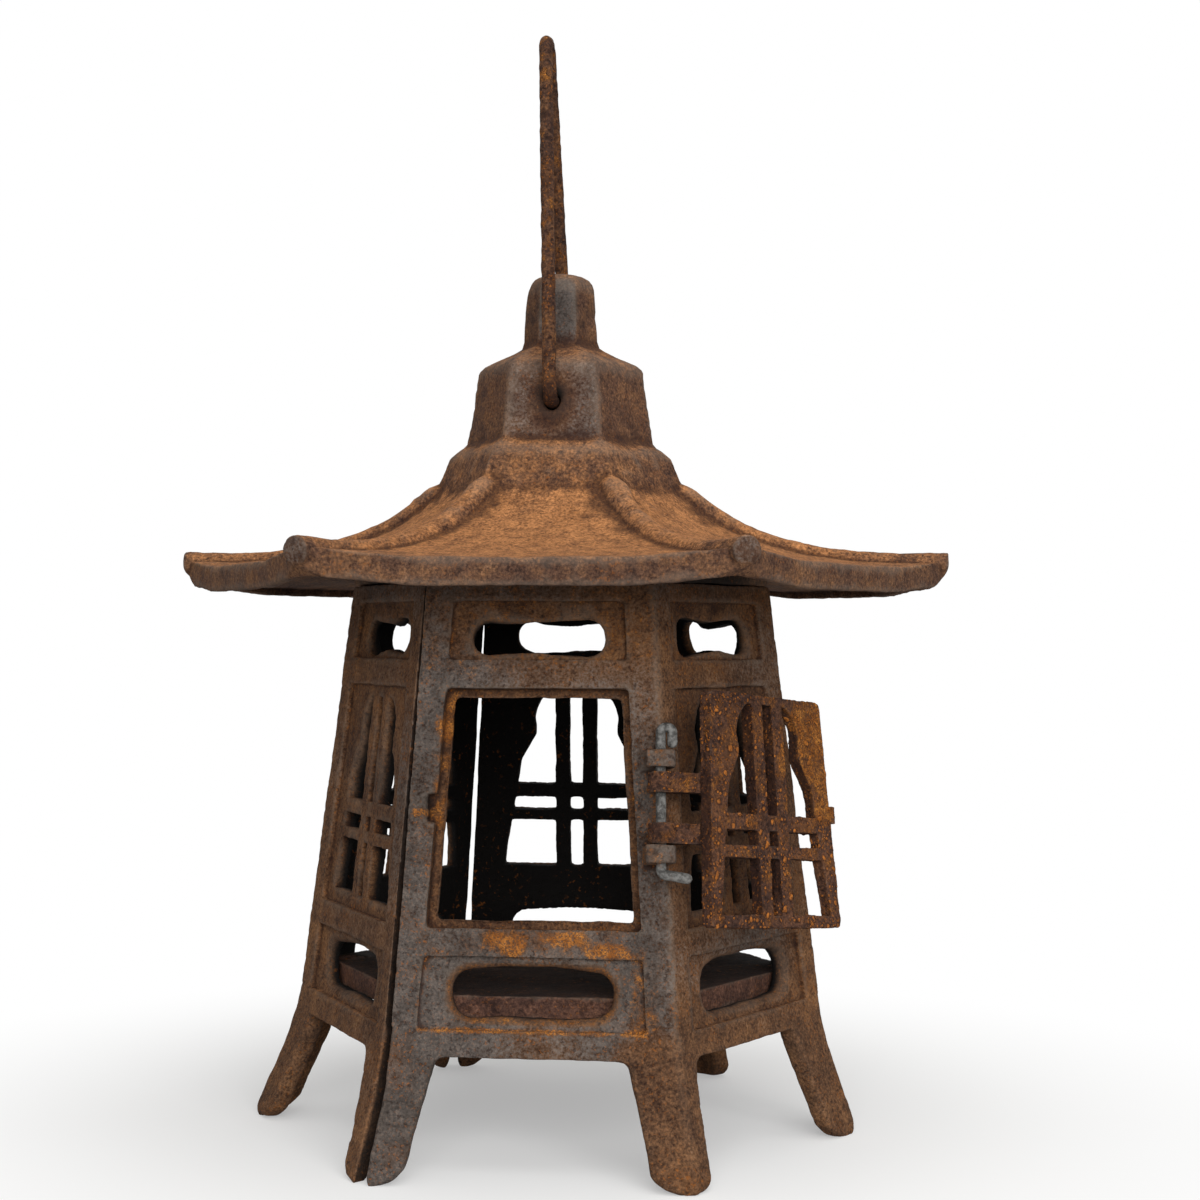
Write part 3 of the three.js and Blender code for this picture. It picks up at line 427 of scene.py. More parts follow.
def smooth_step(value, low, high):
    """Rises from 0 at low to 1 at high along 3t^2 - 2t^3; falls where low is above high."""
    share = np.clip((value - low) / (high - low), 0, 1)
    return share * share * (3 - 2 * share)


def cloud(points, size, seed):
    """Lattice noise from -1 to 1: the hashed numbers of a cube's eight corners, blended smoothly."""
    scaled = points / size
    cell = np.floor(scaled).astype(np.int64)
    share = smooth_step(scaled - cell, 0, 1)
    total = np.zeros(len(points))
    for corner in np.ndindex(2, 2, 2):
        weight = np.where(np.array(corner) == 1, share, 1 - share).prod(axis=1)
        total += weight * hashed(cell + corner, seed)
    return total


def nearest_seed(points, size, seed):
    """One seed in each cube of a lattice: the distance to the nearest, in cubes, and its own number."""
    scaled = points / size
    cell = np.floor(scaled).astype(np.int64)
    nearest = np.full(len(points), np.inf)
    label = np.zeros(len(points))
    for step in np.ndindex(3, 3, 3):
        near = cell + step - 1
        jitter = np.stack([hashed(near, seed + axis) for axis in range(3)], axis=1)
        gap = np.linalg.norm(scaled - near - 0.5 - 0.4 * jitter, axis=1)
        closer = gap < nearest
        nearest = np.where(closer, gap, nearest)
        label = np.where(closer, hashed(near, seed + 3), label)
    return nearest, label


test_points = np.random.default_rng(1).uniform(-0.1, 0.1, (1000, 3))
print("cloud noise spread", round(cloud(test_points, 0.01, 1).std(), 3))

# %% [markdown]
# ## From a sharp solid to a casting
#
# A sand casting has no sharp edge: iron shrinks from the corners, and rust eats them. Bevelling
# every edge of the solids would give clean machined rounds. Instead the triangles of each solid are
# halved until they are small, relaxed a little so that edges round off, and then pushed out and in
# along their normals by a function of place. A solid's own triangles are long and thin, so edges
# inside its flat faces are swapped before each halving until the triangles are round. That keeps
# their number low. How far a point lies above or below its surroundings is kept with it, because
# hollows stay dark and edges are rubbed.


# %% Nets of points
def joined(points, triangles, size, shift):
    """One point for all that share a cube of that size. Triangles that lose a corner go."""
    cubes = np.floor(points / size + shift)
    _, first, own = np.unique(cubes, axis=0, return_index=True, return_inverse=True)
    triangles = own.ravel()[triangles]
    whole = (triangles != np.roll(triangles, 1, axis=1)).all(axis=1)
    return points[first], triangles[whole]


def solid_net(node):
    """The points and triangles of a solid. Cubes join near points: 1 mm on the toes, 0.02 mm elsewhere."""
    source = nodes[node].data
    source.calc_loop_triangles()
    points = np.empty(len(source.vertices) * 3)
    triangles = np.empty(len(source.loop_triangles) * 3, np.int32)
    source.vertices.foreach_get("co", points)
    source.loop_triangles.foreach_get("vertices", triangles)
    points = points.reshape(-1, 3)
    size = np.where(points[:, 2:] < 9 * MM, MM, 0.02 * MM)
    points, triangles = joined(points, triangles.reshape(-1, 3), size, 0.5)
    return joined(points, triangles, 0.02 * MM, 0)


door_points, door_triangles = solid_net("door")
print("the solid door has", len(door_points), "points and", len(door_triangles), "triangles")

# %% Rounder triangles
SWAP_ROUNDS = 12
SWAP_EXCESS = 1e-3  # radians past 180 degrees before an edge is swapped
FLATNESS = 0.003 * MM  # two triangles this close to one plane count as flat
TINY = 1e-12  # square metres, an area that counts as none


def edge_keys(first, second, count):
    """One whole number for each pair of points, whichever of the two comes first."""
    return np.minimum(first, second).astype(np.int64) * count + np.maximum(first, second)


def rounder(points, triangles):
    """Swaps the edge of two flat triangles where the angles that face it sum to over 180 degrees."""
    triangles = triangles.copy()
    for _ in range(SWAP_ROUNDS):
        start = triangles.ravel()
        end = np.roll(triangles, -1, axis=1).ravel()
        far = np.roll(triangles, 1, axis=1).ravel()
        keys = edge_keys(start, end, len(points))
        pairs = np.argsort(keys, kind="stable").reshape(-1, 2)
        to_start, to_end = points[start] - points[far], points[end] - points[far]
        normal = np.cross(to_start, to_end)
        size = np.linalg.norm(normal, axis=1)
        angle = np.arctan2(size, np.einsum("ij,ij->i", to_start, to_end))
        excess = angle[pairs].sum(axis=1) - math.pi
        thin = excess > SWAP_EXCESS
        pairs, excess = pairs[thin], excess[thin]
        small, large = np.take_along_axis(pairs, np.argsort(size[pairs], axis=1), axis=1).T
        plane = normal[large] / np.maximum(size[large], 1e-18)[:, None]
        arm = points[far[small]] - points[start[large]]
        side = np.cross(points[end[large]] - points[start[large]], arm)
        flat = np.abs(np.einsum("ij,ij->i", arm, plane)) < FLATNESS
        flat &= np.einsum("ij,ij->i", side, plane) < TINY
        pairs, excess = pairs[flat], excess[flat]
        score = np.zeros(len(start))
        score[pairs] = (excess + np.linspace(0, 1e-9, len(excess)))[:, None]
        best = score.reshape(-1, 3).max(axis=1)
        one, two = pairs[(score[pairs] == best[pairs // 3]).all(axis=1)].T
        fresh = edge_keys(far[one], far[two], len(points))
        _, once = np.unique(fresh, return_index=True)
        once = once[~np.isin(fresh[once], keys)]
        if not len(once):
            break
        one, two = one[once], two[once]
        triangles[one // 3] = np.stack([far[one], start[one], far[two]], axis=1)
        triangles[two // 3] = np.stack([far[two], end[one], far[one]], axis=1)
    return triangles


swapped = (rounder(door_points, door_triangles) != door_triangles).any(axis=1)
print("swaps change", swapped.sum(), "of the door's triangles")


# %% Smaller triangles
def refined(points, triangles, longest):
    """Halves all edges above longest(their middles). Triangles with 1, 2 or 3 of them become 2, 3 or 4."""
    while True:
        triangles = rounder(points, triangles)
        ends = np.roll(triangles, -1, axis=1)
        keys, which = np.unique(edge_keys(triangles, ends, len(points)), return_inverse=True)
        edges = np.stack([keys // len(points), keys % len(points)], axis=1)
        length = np.linalg.norm(points[edges[:, 0]] - points[edges[:, 1]], axis=1)
        too_long = length > longest(points[edges].mean(axis=1))
        if not too_long.any():
            return points, triangles
        middle = np.full(len(edges), -1)
        middle[too_long] = len(points) + np.arange(too_long.sum())
        points = np.concatenate([points, points[edges[too_long]].mean(axis=1)])
        halves = middle[which].reshape(-1, 3)
        cut = halves >= 0
        count = cut.sum(axis=1)
        start = np.where(count == 2, np.argmin(cut, axis=1), np.argmax(cut, axis=1))
        order = (start[:, None] + np.arange(3)) % 3
        a, b, c = np.take_along_axis(triangles, order, axis=1).T
        ab, bc, ca = np.take_along_axis(halves, order, axis=1).T
        a_to_bc = np.linalg.norm(points[a] - points[bc], axis=1)
        b_to_ca = np.linalg.norm(points[b] - points[ca], axis=1)
        cross = a_to_bc < b_to_ca
        one, two, three = count == 1, count == 2, count == 3
        pieces = [
            (count == 0, (a, b, c)),
            (one, (a, ab, c)), (one, (ab, b, c)),
            (two, (bc, c, ca)),
            (two & cross, (a, b, bc)), (two & cross, (a, bc, ca)),
            (two & ~cross, (a, b, ca)), (two & ~cross, (b, bc, ca)),
            (three, (a, ab, ca)), (three, (ab, b, bc)), (three, (ca, bc, c)), (three, (ab, bc, ca)),
        ]
        triangles = np.concatenate([np.stack(corners, axis=1)[chosen] for chosen, corners in pieces])


halved = refined(door_points, door_triangles, lambda middles: 10 * MM)
print("edges of 10 mm and less take", len(halved[1]), "triangles on the door")


# %% Relaxing, and numbers that points carry
def read_net(mesh):
    """The points of a mesh and the two ends of each of its edges, as arrays."""
    points = np.empty(len(mesh.vertices) * 3)
    ends = np.empty(len(mesh.edges) * 2, np.int32)
    mesh.vertices.foreach_get("co", points)
    mesh.edges.foreach_get("vertices", ends)
    return points.reshape(-1, 3), ends.reshape(-1, 2)


def write_net(mesh, points):
    """Puts points into a mesh and returns the normals that follow."""
    mesh.vertices.foreach_set("co", points.ravel())
    mesh.update()
    normals = np.empty(points.size)
    mesh.vertex_normals.foreach_get("vector", normals)
    return normals.reshape(-1, 3)


def neighbour_mean(values, ends):
    """For each point, the mean of the values at the far ends of its edges."""
    first, second = ends.T
    share = 1 / np.bincount(ends.ravel(), minlength=len(values))
    columns = [
        (np.bincount(first, v[second], len(v)) + np.bincount(second, v[first], len(v))) * share
        for v in values.T
    ]
    return np.stack(columns, axis=1)


def relaxed(points, ends, rounds, share=1.0):
    """Each round pulls points half way to their neighbours' mean, or by a share of that."""
    for _ in range(rounds):
        points = points + 0.5 * share * (neighbour_mean(points, ends) - points)
    return points


def standing_out(points, ends, normals, rounds):
    """How far each point stands above the mean of its surroundings, along its normal."""
    around = points
    for _ in range(rounds):
        around = neighbour_mean(around, ends)
    return np.einsum("ij,ij->i", points - around, normals)


def carry(mesh, layers):
    """Stores arrays of numbers from 0 to 1 with the points of a mesh, for the finishes to read."""
    for name, values in layers.items():
        attribute = mesh.attributes.new(name, "FLOAT", "POINT")
        attribute.data.foreach_set("value", np.clip(values, 0, 1).astype(np.float32))


square = np.array([[0, 0, 0], [1, 0, 0], [1, 1, 0], [0, 1, 0]])
sides = np.array([[0, 1], [1, 2], [2, 3], [3, 0]])
print("one round takes a square's side from 1 to", np.ptp(relaxed(square, sides, 1)[:, 0]))


# %% Weathered pieces
def weathered(node, longest, rounds, swell, layers, shape=None):
    """A solid as a casting: its net relaxed, shaped and swollen by functions of place, with its layers."""
    points, triangles = refined(*solid_net(node), longest)
    mesh = bpy.data.meshes.new("rusted_" + node)
    mesh.from_pydata(points.tolist(), [], triangles.tolist())
    points, ends = read_net(mesh)
    if shape:
        points = shape(points, ends)
    points = relaxed(points, ends, rounds)
    normals = write_net(mesh, points)
    points = points + normals * swell(points, normals)[:, None]
    normals = write_net(mesh, points)
    out = standing_out(points, ends, normals, 8)
    marks = layers(points, relaxed(normals, ends, 3))
    # Grime in small hollows, found from how far a point sinks below its surroundings; the pieces' layers add
    # painted shade to the same layer.
    marks["hollow"] = np.maximum(marks.get("hollow", 0), smooth_step(out, -0.1 * MM, -0.5 * MM))
    marks["worn"] = marks.get("worn", 1) * smooth_step(out, 0.12 * MM, 0.5 * MM)
    carry(mesh, marks)
    mesh.polygons.foreach_set("use_smooth", np.ones(len(mesh.polygons), bool))
    return mesh


def show(name, mesh, finish, body, slot, *stands_for):
    """Gives a finished mesh its material, and ties it to the frame."""
    piece = bpy.data.objects.new(name, mesh)
    bpy.context.scene.collection.objects.link(piece)
    mesh.materials.clear()
    mesh.materials.append(finish)
    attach(piece, body)
    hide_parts(*stands_for)
    triangles = sum(len(p.vertices) - 2 for p in mesh.polygons)
    print(f"{name}: {triangles} triangles, replaces {', '.join(stands_for)}")


def cast_lumps(points, seed):
    """The unevenness of sand-cast iron: three sizes of cloud, each finer one shallower."""
    return MM * (
        0.22 * cloud(points, 11 * MM, seed)
        + 0.13 * cloud(points, 4 * MM, seed + 1)
        + 0.07 * cloud(points, 1.7 * MM, seed + 2)
    )


print("cast lumps of", round(cast_lumps(door_points, 1).std() / MM, 2), "mm on the door")

# %% [markdown]
# ## The three body castings
#
# Each casting is two panels and the fold between them. The front panel keeps most of the grey
# casting skin. Orange crust sits on the ledges where rain lay, and the edges of the slots are wavy,
# because the sand of the mould crumbled there. Rust could be painted on by hand, but places written
# in numbers can be read and changed. They are given in a panel's own coordinates: across it, up its
# slanting face, and out of that face. Those come from turning each point to the front by whole
# sixths and then leaning it back.

# %% Places on a panel
floor_apothem = 79.257 * MM  # from the axis to the panels' planes, at the floor
panel_slope = math.radians(6.3256)
rebate_depth = 4.3  # millimetres from the front panel's face to the ledge that the door closes on


def panel_place(points):
    """Each point's side, 0 at the front and anticlockwise, and its place across, up and out of it."""
    sixth = np.round((np.arctan2(points[:, 1], points[:, 0]) + math.pi / 2) / (math.pi / 3))
    turn = -sixth * math.pi / 3
    across = points[:, 0] * np.cos(turn) - points[:, 1] * np.sin(turn)
    depth = points[:, 0] * np.sin(turn) + points[:, 1] * np.cos(turn) + floor_apothem
    up = depth * math.sin(panel_slope) + points[:, 2] * math.cos(panel_slope)
    out = points[:, 2] * math.sin(panel_slope) - depth * math.cos(panel_slope)
    return sixth % 6, across / MM, up / MM, out / MM


def patch(across, up, left, right, foot, head, soft=2.5):
    """1 inside a rectangle on a panel, falling smoothly to 0 over soft millimetres outside it."""
    sides = smooth_step(across, left - soft, left) * smooth_step(across, right + soft, right)
    return sides * smooth_step(up, foot - soft, foot) * smooth_step(up, head + soft, head)


def slot_lip(across, up):
    """1 in the lower slot and on its lip, 0 further out, from the distance to a round-cornered slot."""
    corner_across, corner_rise, corner_radius, middle = 18, 1, 6, 54.6
    aside = np.maximum(np.abs(across) - corner_across, 0)
    above = np.maximum(np.abs(up - middle) - corner_rise, 0)
    return smooth_step(np.hypot(aside, above) - corner_radius, 2.2, 1.2)


front_points = solid_net("front_casting")[0]
print("the front casting has sides", np.unique(panel_place(front_points)[0]))


# %% What lies where on the panels
def ledge_crust(points):
    """Where orange crust lies: front ledges, rebate, latch, hinge and slot, and the top of every panel."""
    side, across, up, _ = panel_place(points)
    front = side == 0
    ragged = smooth_step(cloud(points, 6 * MM, 40) + 0.5 * cloud(points, 2.5 * MM, 41), -0.6, 0.6)
    rail = patch(across, up, -12, 26, 67.8, 70.5, 4) * (0.35 + 0.65 * ragged)
    rail += 0.25 * patch(across, up, -30, 33, 66.5, 72.5, 3) * ragged
    gutter = 0.9 * patch(across, up, -34, 34, 43.6, 44.0, 1.1) * (0.4 + 0.6 * ragged)
    beside = 0.5 * patch(across, up, 31, 36, 46, 64, 4) * (0.4 + 0.6 * ragged)
    rebate = 0.75 * patch(across, up, -29, -25.5, 104, 143, 3) * ragged
    smear = 1.6 * patch(across, up, -36, -32, 107, 108, 1.0)
    hinge = 0.45 * patch(across, up, 29, 40, 92, 131, 4) * ragged
    lip = 0.42 * slot_lip(across, up)
    eave = 0.28 * smooth_step(up, 142, 156)
    return np.where(front, rail + gutter + beside + rebate + smear + hinge + lip + eave, 0.6 * eave)


def door_seat(side, across, up, out, normals):
    """1 on the floor of the doorway's rebate, where the closed door lies."""
    facing = smooth_step(normals @ np.array([0, -math.cos(panel_slope), math.sin(panel_slope)]), 0.3, 0.7)
    floor_depth = smooth_step(np.abs(out + rebate_depth), 1.2, 0.7)
    return (side == 0) * facing * floor_depth * patch(np.abs(across), up, 0, 34, 71, 148, 1)


def body_swell(points, normals):
    """Cast lumps, wavy slot edges, a thickness for the crust and room for the closed door, in metres."""
    side, across, up, out = panel_place(points)
    near_upper = patch(np.abs(across), up, 0, 22, 156, 169, 3)
    near_lower = patch(np.abs(across), up, 0, 26, 46, 64, 2)
    waves = MM * (1.7 * near_upper + 0.5 * near_lower) * cloud(points, 9 * MM, 20)
    bars = MM * 0.22 * patch(np.abs(across), up, 0, 28, 76, 142, 2) * cloud(points, 5 * MM, 21)
    crust = MM * 0.2 * ledge_crust(points) * (1 + cloud(points, 1.9 * MM, 22))
    room = MM * 0.55 * door_seat(side, across, up, out, normals)
    return cast_lumps(points, 1) + waves + bars + crust - room


def joint_faces(points, normals):
    """1 on the faces that meet in the three joints, which get painted shade: near a joint's plane, and
    facing it.
    """
    total = np.zeros(len(points))
    for angle in np.radians([-120, 0, 120]):
        radial = np.array([math.cos(angle), math.sin(angle), 0])
        aside = np.array([-math.sin(angle), math.cos(angle), 0])
        near = smooth_step(np.abs(points @ aside), 7 * MM, 4 * MM) * (points @ radial > 0)
        total = np.maximum(total, near * smooth_step(np.abs(normals @ aside), 0.5, 0.85))
    return total


def body_layers(points, normals):
    """How much slate, crust, dust, soot and painted shade each point of a body casting has."""
    side, across, up, out = panel_place(points)
    front = np.where(side == 0, 1.0, 0.0)
    warm_leg = smooth_step(across, 22, 30) * smooth_step(up, 48, 34)
    under_eave = smooth_step(up, 140, 168)
    deep = smooth_step(-out, 1.0, 2.0) * smooth_step(up, 40, 46)
    rebate = front * deep * patch(np.abs(across), up, 0, 34, 72, 147, 1)
    slate = front * (0.72 + 0.4 * cloud(points, 28 * MM, 31) - 0.85 * warm_leg - 0.5 * under_eave)
    slate -= front * 0.006 * across
    slate += (1 - front) * (0.05 + 0.25 * smooth_step(up, 40, 70) + 0.35 * cloud(points, 30 * MM, 30))
    lip = slot_lip(across, up)
    slate -= 0.35 * deep * smooth_step(up, 66, 76) + 0.8 * rebate + 0.8 * lip
    inner = smooth_step(-out - 2.4 * rebate, 2.6, 5.0) * smooth_step(up, 36, 44)
    # Painted shadow of the open door on the right panel's recess, and a little painted shade in the other
    # recesses.
    painted_door_shadow = np.where(side == 1, 0.55, 0.1) * deep * patch(np.abs(across), up, 0, 40, 74, 145, 1)
    return {
        "slate": slate,
        "crust": ledge_crust(points) + 0.08 * rebate,
        "dust": smooth_step(normals[:, 2], 0.55, 0.95) * (1 - inner) * 0.35,
        # Painted shade in the doorway's rebate, and in the lower slot and on its lip.
        "hollow": np.where(side == 0, 0.45 * rebate, painted_door_shadow) + 0.35 * lip,
        "worn": 0.2 + 0.8 * smooth_step(up, 36, 48),
        # Soot and painted shade inside the body, and painted shade on the faces of the joints.
        "soot": np.maximum(inner, 0.85 * joint_faces(points, normals)),
    }


print("crust on", (ledge_crust(front_points) > 0.3).sum(), "points of the front casting's solid")


# %% Legs and castings
toe_height = 6 * MM
sole_depth = 0.9 * MM  # worn off the tips of the toes, so that they stand flat


def worn_legs(points, ends):
    """Draws each toe in along a quarter circle, sqrt(1 - (1 - z/h)^2), relaxes it and flattens its sole."""
    points = points.copy()
    leg = np.round(np.arctan2(points[:, 1], points[:, 0]) / (math.pi / 3)) % 6
    for number in range(6):
        toe = (leg == number) & (points[:, 2] < toe_height)
        if toe.any():
            rise = points[toe, 2:] / toe_height
            width = 0.55 + 0.45 * np.sqrt(1 - (1 - rise) ** 2)
            middle = (points[toe, :2].min(axis=0) + points[toe, :2].max(axis=0)) / 2
            points[toe, :2] = middle + width * (points[toe, :2] - middle)
    height = points[:, 2]
    share = 0.3 * smooth_step(height, 42 * MM, 30 * MM) + 0.7 * smooth_step(height, 14 * MM, 4 * MM)
    points = relaxed(points, ends, 10, share[:, None])
    points[:, 2] -= share * (points[:, 2].min() + sole_depth)
    points[:, 2] = np.maximum(points[:, 2], 0)
    return points


def body_edge(points):
    """The longest edge allowed in a net, in metres: shorter on the toes, which are round."""
    return MM * (1.7 - 0.6 * smooth_step(points[:, 2], 12 * MM, 8 * MM))


for node in ("front_casting", "rear_casting", "left_casting"):
    casting = weathered(node, body_edge, 2, body_swell, body_layers, worn_legs)
    show("rusted_" + node, casting, body_iron, "lantern", "body_iron", node)

# %% [markdown]
# ## The roof
#
# The roof is one heavy casting: six curved slopes with a round ridge down each corner, two tiers
# and a knob. Its slopes have caught rain and dust for years and are nearly orange. The upright
# faces of the tiers keep a purple brown, and the front of the knob is still slate. Rust has run
# from the holes that carry the bail.

# %% Roof
knob_foot = 258 * MM
bail_axis = 234.52 * MM
bail_hole = np.array([0, 25.3 * MM, bail_axis])


def ridge_place(points):
    """How far out along the nearest of the six ridges each point lies, and how far aside of it."""
    angle = np.arctan2(points[:, 1], points[:, 0])
    angle = (angle + math.pi / 6) % (math.pi / 3) - math.pi / 6
    radius = np.hypot(points[:, 0], points[:, 1])
    return radius * np.cos(angle), radius * np.sin(angle)


ridge_end = ridge_place(solid_net("roof")[0])[0].max()


def roof_swell(points, normals):
    """Cast lumps everywhere, with scabs of rust where the slopes meet the lower tier."""
    height = points[:, 2]
    root = smooth_step(height, 192 * MM, 204 * MM) * smooth_step(height, 226 * MM, 212 * MM)
    scabs = MM * 0.45 * root * smooth_step(cloud(points, 3.2 * MM, 52), 0.25, 0.7)
    return 1.15 * cast_lumps(points, 50) + scabs


def roof_layers(points, normals):
    """Dust on what faces up, less at the eaves, slate on the knob's front, stains under the bail's holes,
    painted shade inside.
    """
    height = points[:, 2]
    radius = np.hypot(points[:, 0], points[:, 1])
    under = smooth_step(normals[:, 2], -0.2, -0.6)
    inside = smooth_step(normals[:, 2], 0.1, -0.1) * smooth_step(radius, 66 * MM, 60 * MM)
    fold = points * np.array([1, 0, 1]) + np.abs(points) * np.array([0, 1, 0])
    below = np.linalg.norm((fold - bail_hole) * np.array([1, 1, 0.7]), axis=1)
    stain = smooth_step(below, 9 * MM, 4 * MM)
    slope = smooth_step(height, 228 * MM, 206 * MM)
    front = smooth_step(-normals[:, 1], 0.6, 0.9)
    knob = smooth_step(height, knob_foot - 2 * MM, knob_foot + 4 * MM)
    tier = smooth_step(height, 219 * MM, 224 * MM) * (1 - knob)
    slate = front * (0.8 * knob + 0.55 * tier) + 0.15 * cloud(points, 24 * MM, 53)
    along, _ = ridge_place(points)
    disc = smooth_step(along, ridge_end - 2 * MM, ridge_end - 0.7 * MM)
    scabs = smooth_step(cloud(points, 1.8 * MM, 55), 0.0, 0.5)
    washed = 1 - 0.5 * smooth_step(radius, 78 * MM, 116 * MM)
    return {
        "slate": np.maximum(slate * (1 - stain), 0.45 * disc),
        "dust": smooth_step(normals[:, 2], 0.0, 1.0) * (0.45 + 0.55 * slope) * washed,
        "crust": 0.35 * under * smooth_step(cloud(points, 6 * MM, 54), 0.5, 0.9),
        "hollow": np.maximum(stain, disc * (0.2 + 0.6 * scabs)),
        # Soot and painted shade under the roof, inside its hollow.
        "soot": 0.9 * inside,
    }


def roof_edge(points):
    """The longest edge allowed in the roof's net: 2.55 mm, and 0.9 mm round the ends of the ridges."""
    along, aside = ridge_place(points)
    end = smooth_step(along, ridge_end - 11 * MM, ridge_end - 8 * MM)
    end = end * smooth_step(np.abs(aside), 9 * MM, 7 * MM)
    return MM * (2.55 - 1.65 * end)


def worn_tips(points, ends):
    """Draws in the corners of the eaves under the discs, along a curve that falls away as d^2."""
    along, aside = ridge_place(points)
    disc = points[along > ridge_end - 0.2 * MM]
    below = np.clip((disc[:, 2].mean() - points[:, 2]) / (7 * MM), 0, 1.5)
    limit = ridge_end - 0.3 * MM - 4.5 * MM * below**2
    excess = np.clip(along - limit, 0, None) * smooth_step(np.abs(aside), 9 * MM, 6 * MM)
    reach = np.maximum(np.hypot(points[:, 0], points[:, 1]), MM)
    outwards = points * np.array([1, 1, 0]) / reach[:, None]
    rim = smooth_step(along, ridge_end - 3 * MM, ridge_end - MM)
    return relaxed(points - excess[:, None] * outwards, ends, 3, rim[:, None])


roof = weathered("roof", roof_edge, 2, roof_swell, roof_layers, worn_tips)
show("rusted_roof", roof, roof_iron, "lantern", "roof_iron", "roof")

# %% [markdown]
# ## The door
#
# The open door turns its inner face to us. It was always the damp side, and blisters of rust a
# millimetre or two wide have come up all over it. Crust covers its free edge. Each blister is a low
# dome over a scattered seed, in the mesh and in the colour alike. Only the smallest are left to the
# finish.


# %% Door
def blister_domes(points):
    """Domes of height 1 - (distance / reach)^2 over some of the scattered seeds, denser in clusters."""
    bent = points + 0.4 * MM * np.stack([cloud(points, 1.5 * MM, 64 + axis) for axis in range(3)], axis=1)
    crowd = cloud(points, 12 * MM, 68)
    total = np.zeros(len(points))
    for size, seed in ((3.3 * MM, 60), (2.4 * MM, 70)):
        gap, label = nearest_seed(bent, size, seed)
        reach = 0.24 + 0.17 * (label * 7.3 % 1)
        strength = 0.6 + 0.4 * (label * 13.7 % 1)
        dome = np.clip(1 - (gap / reach) ** 2, 0, 1)
        total = np.maximum(total, dome * strength * (label > 0.15 - 0.9 * crowd))
    return total


def door_swell(points, normals):
    """Cast lumps, a finer roughness and the blisters, in metres."""
    rough = MM * 0.16 * smooth_step(cloud(points, 1.5 * MM, 66), 0, 0.6)
    return 0.7 * cast_lumps(points, 62) + rough + MM * 0.35 * blister_domes(points)


def door_layers(points, normals):
    """Blisters, orange crust along the free edge, painted shade on the walls in the lattice, nothing grey.
    """
    middle = points.mean(axis=0)
    _, axes = np.linalg.eigh(np.cov((points - middle).T))
    _, across, up = ((points - middle) @ axes).T
    inside = smooth_step(np.abs(across), 26 * MM, 22 * MM) * smooth_step(np.abs(up), 33 * MM, 29 * MM)
    # The walls of the lattice, which the layer darkens as painted shade.
    wall = smooth_step(np.abs(normals @ axes[:, 0]), 0.75, 0.35) * inside
    low, high = (np.array(corner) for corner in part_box("door"))
    along = (points - low) / (high - low)
    edge = smooth_step(along[:, 0], 0.62, 0.88) * smooth_step(along[:, 2], 0.3, 0.85)
    ragged = smooth_step(cloud(points, 5 * MM, 63) + 0.5 * cloud(points, 2 * MM, 67), -0.6, 0.7)
    crust = 1.9 * edge * (0.35 + 0.65 * ragged) + 0.44 * ragged
    plate = 0.35 + 0.65 * smooth_step(along[:, 0], 0.1, 0.3)
    return {
        "slate": np.zeros(len(points)),
        "crust": crust * (1 - 0.8 * wall),
        "blister": blister_domes(points) * plate * (1 - wall),
        "hollow": wall,
    }


def door_edge(points):
    """The longest edge allowed in the door's net, short enough for its blisters."""
    return np.full(len(points), 0.65 * MM)


door = weathered("door", door_edge, 2, door_swell, door_layers)
show("rusted_door", door, door_iron, "door", "door_iron", "door")

# %% [markdown]
# ## The floor plate
#
# A flat plate lies on lugs inside the body. Its edge shows through the lower slots and, from higher
# up, its top through the doorway. It is treated as the castings are, but it is darker: soot, and
# painted shade for the inside of the body.


# %% Floor plate
def floor_swell(points, normals):
    """Cast lumps, in metres."""
    return cast_lumps(points, 80)


def floor_edge(points):
    """The longest edge allowed in the plate's net."""
    return np.full(len(points), 1.8 * MM)


def floor_layers(points, normals):
    """Soot and painted shade on what faces up, and nothing grey."""
    return {"slate": np.zeros(len(points)), "soot": 0.7 * smooth_step(normals[:, 2], 0.3, 0.9)}


plate = weathered("floor_plate", floor_edge, 2, floor_swell, floor_layers)
show("rusted_floor_plate", plate, floor_iron, "lantern", "floor_iron", "floor_plate")

# %% [markdown]
# ## Bent rods
#
# The bail and the hinge pin are both round stock bent by hand: straight runs joined by round bends.
# A curve object with a bevel would do, but here the surface is worked out directly: a circle
# carried along the bent line. That way rust can eat into its radius, and its ends can be rounded
# off.


# %% Bent rods
def unit(vector):
    """A vector divided by its length."""
    return vector / np.linalg.norm(vector, axis=-1, keepdims=True)


def bent_line(corners, step):
    """Straight runs joined by arcs. Each corner is (x, y, radius of its bend); points lie a step apart."""
    places = np.array([corner[:2] for corner in corners])
    runs = [places[:1]]
    for before, here, after, corner in zip(places, places[1:], places[2:], corners[1:]):
        back, ahead = unit(before - here), unit(after - here)
        half = math.acos(back @ ahead) / 2
        centre = here + unit(back + ahead) * corner[2] / math.sin(half)
        spoke = here + back * corner[2] / math.tan(half) - centre
        turn = np.sign(ahead[0] * back[1] - ahead[1] * back[0]) * (math.pi - 2 * half)
        angle = np.linspace(0, turn, 32)[:, None]
        runs.append(centre + np.cos(angle) * spoke + np.sin(angle) * np.array([-spoke[1], spoke[0]]))
    line = np.concatenate([*runs, places[-1:]])
    length = np.concatenate([[0], np.cumsum(np.linalg.norm(np.diff(line, axis=0), axis=1))])
    even = np.linspace(0, length[-1], int(length[-1] / step) + 1)
    return np.stack([np.interp(even, length, line[:, axis]) for axis in (0, 1)], axis=1), even


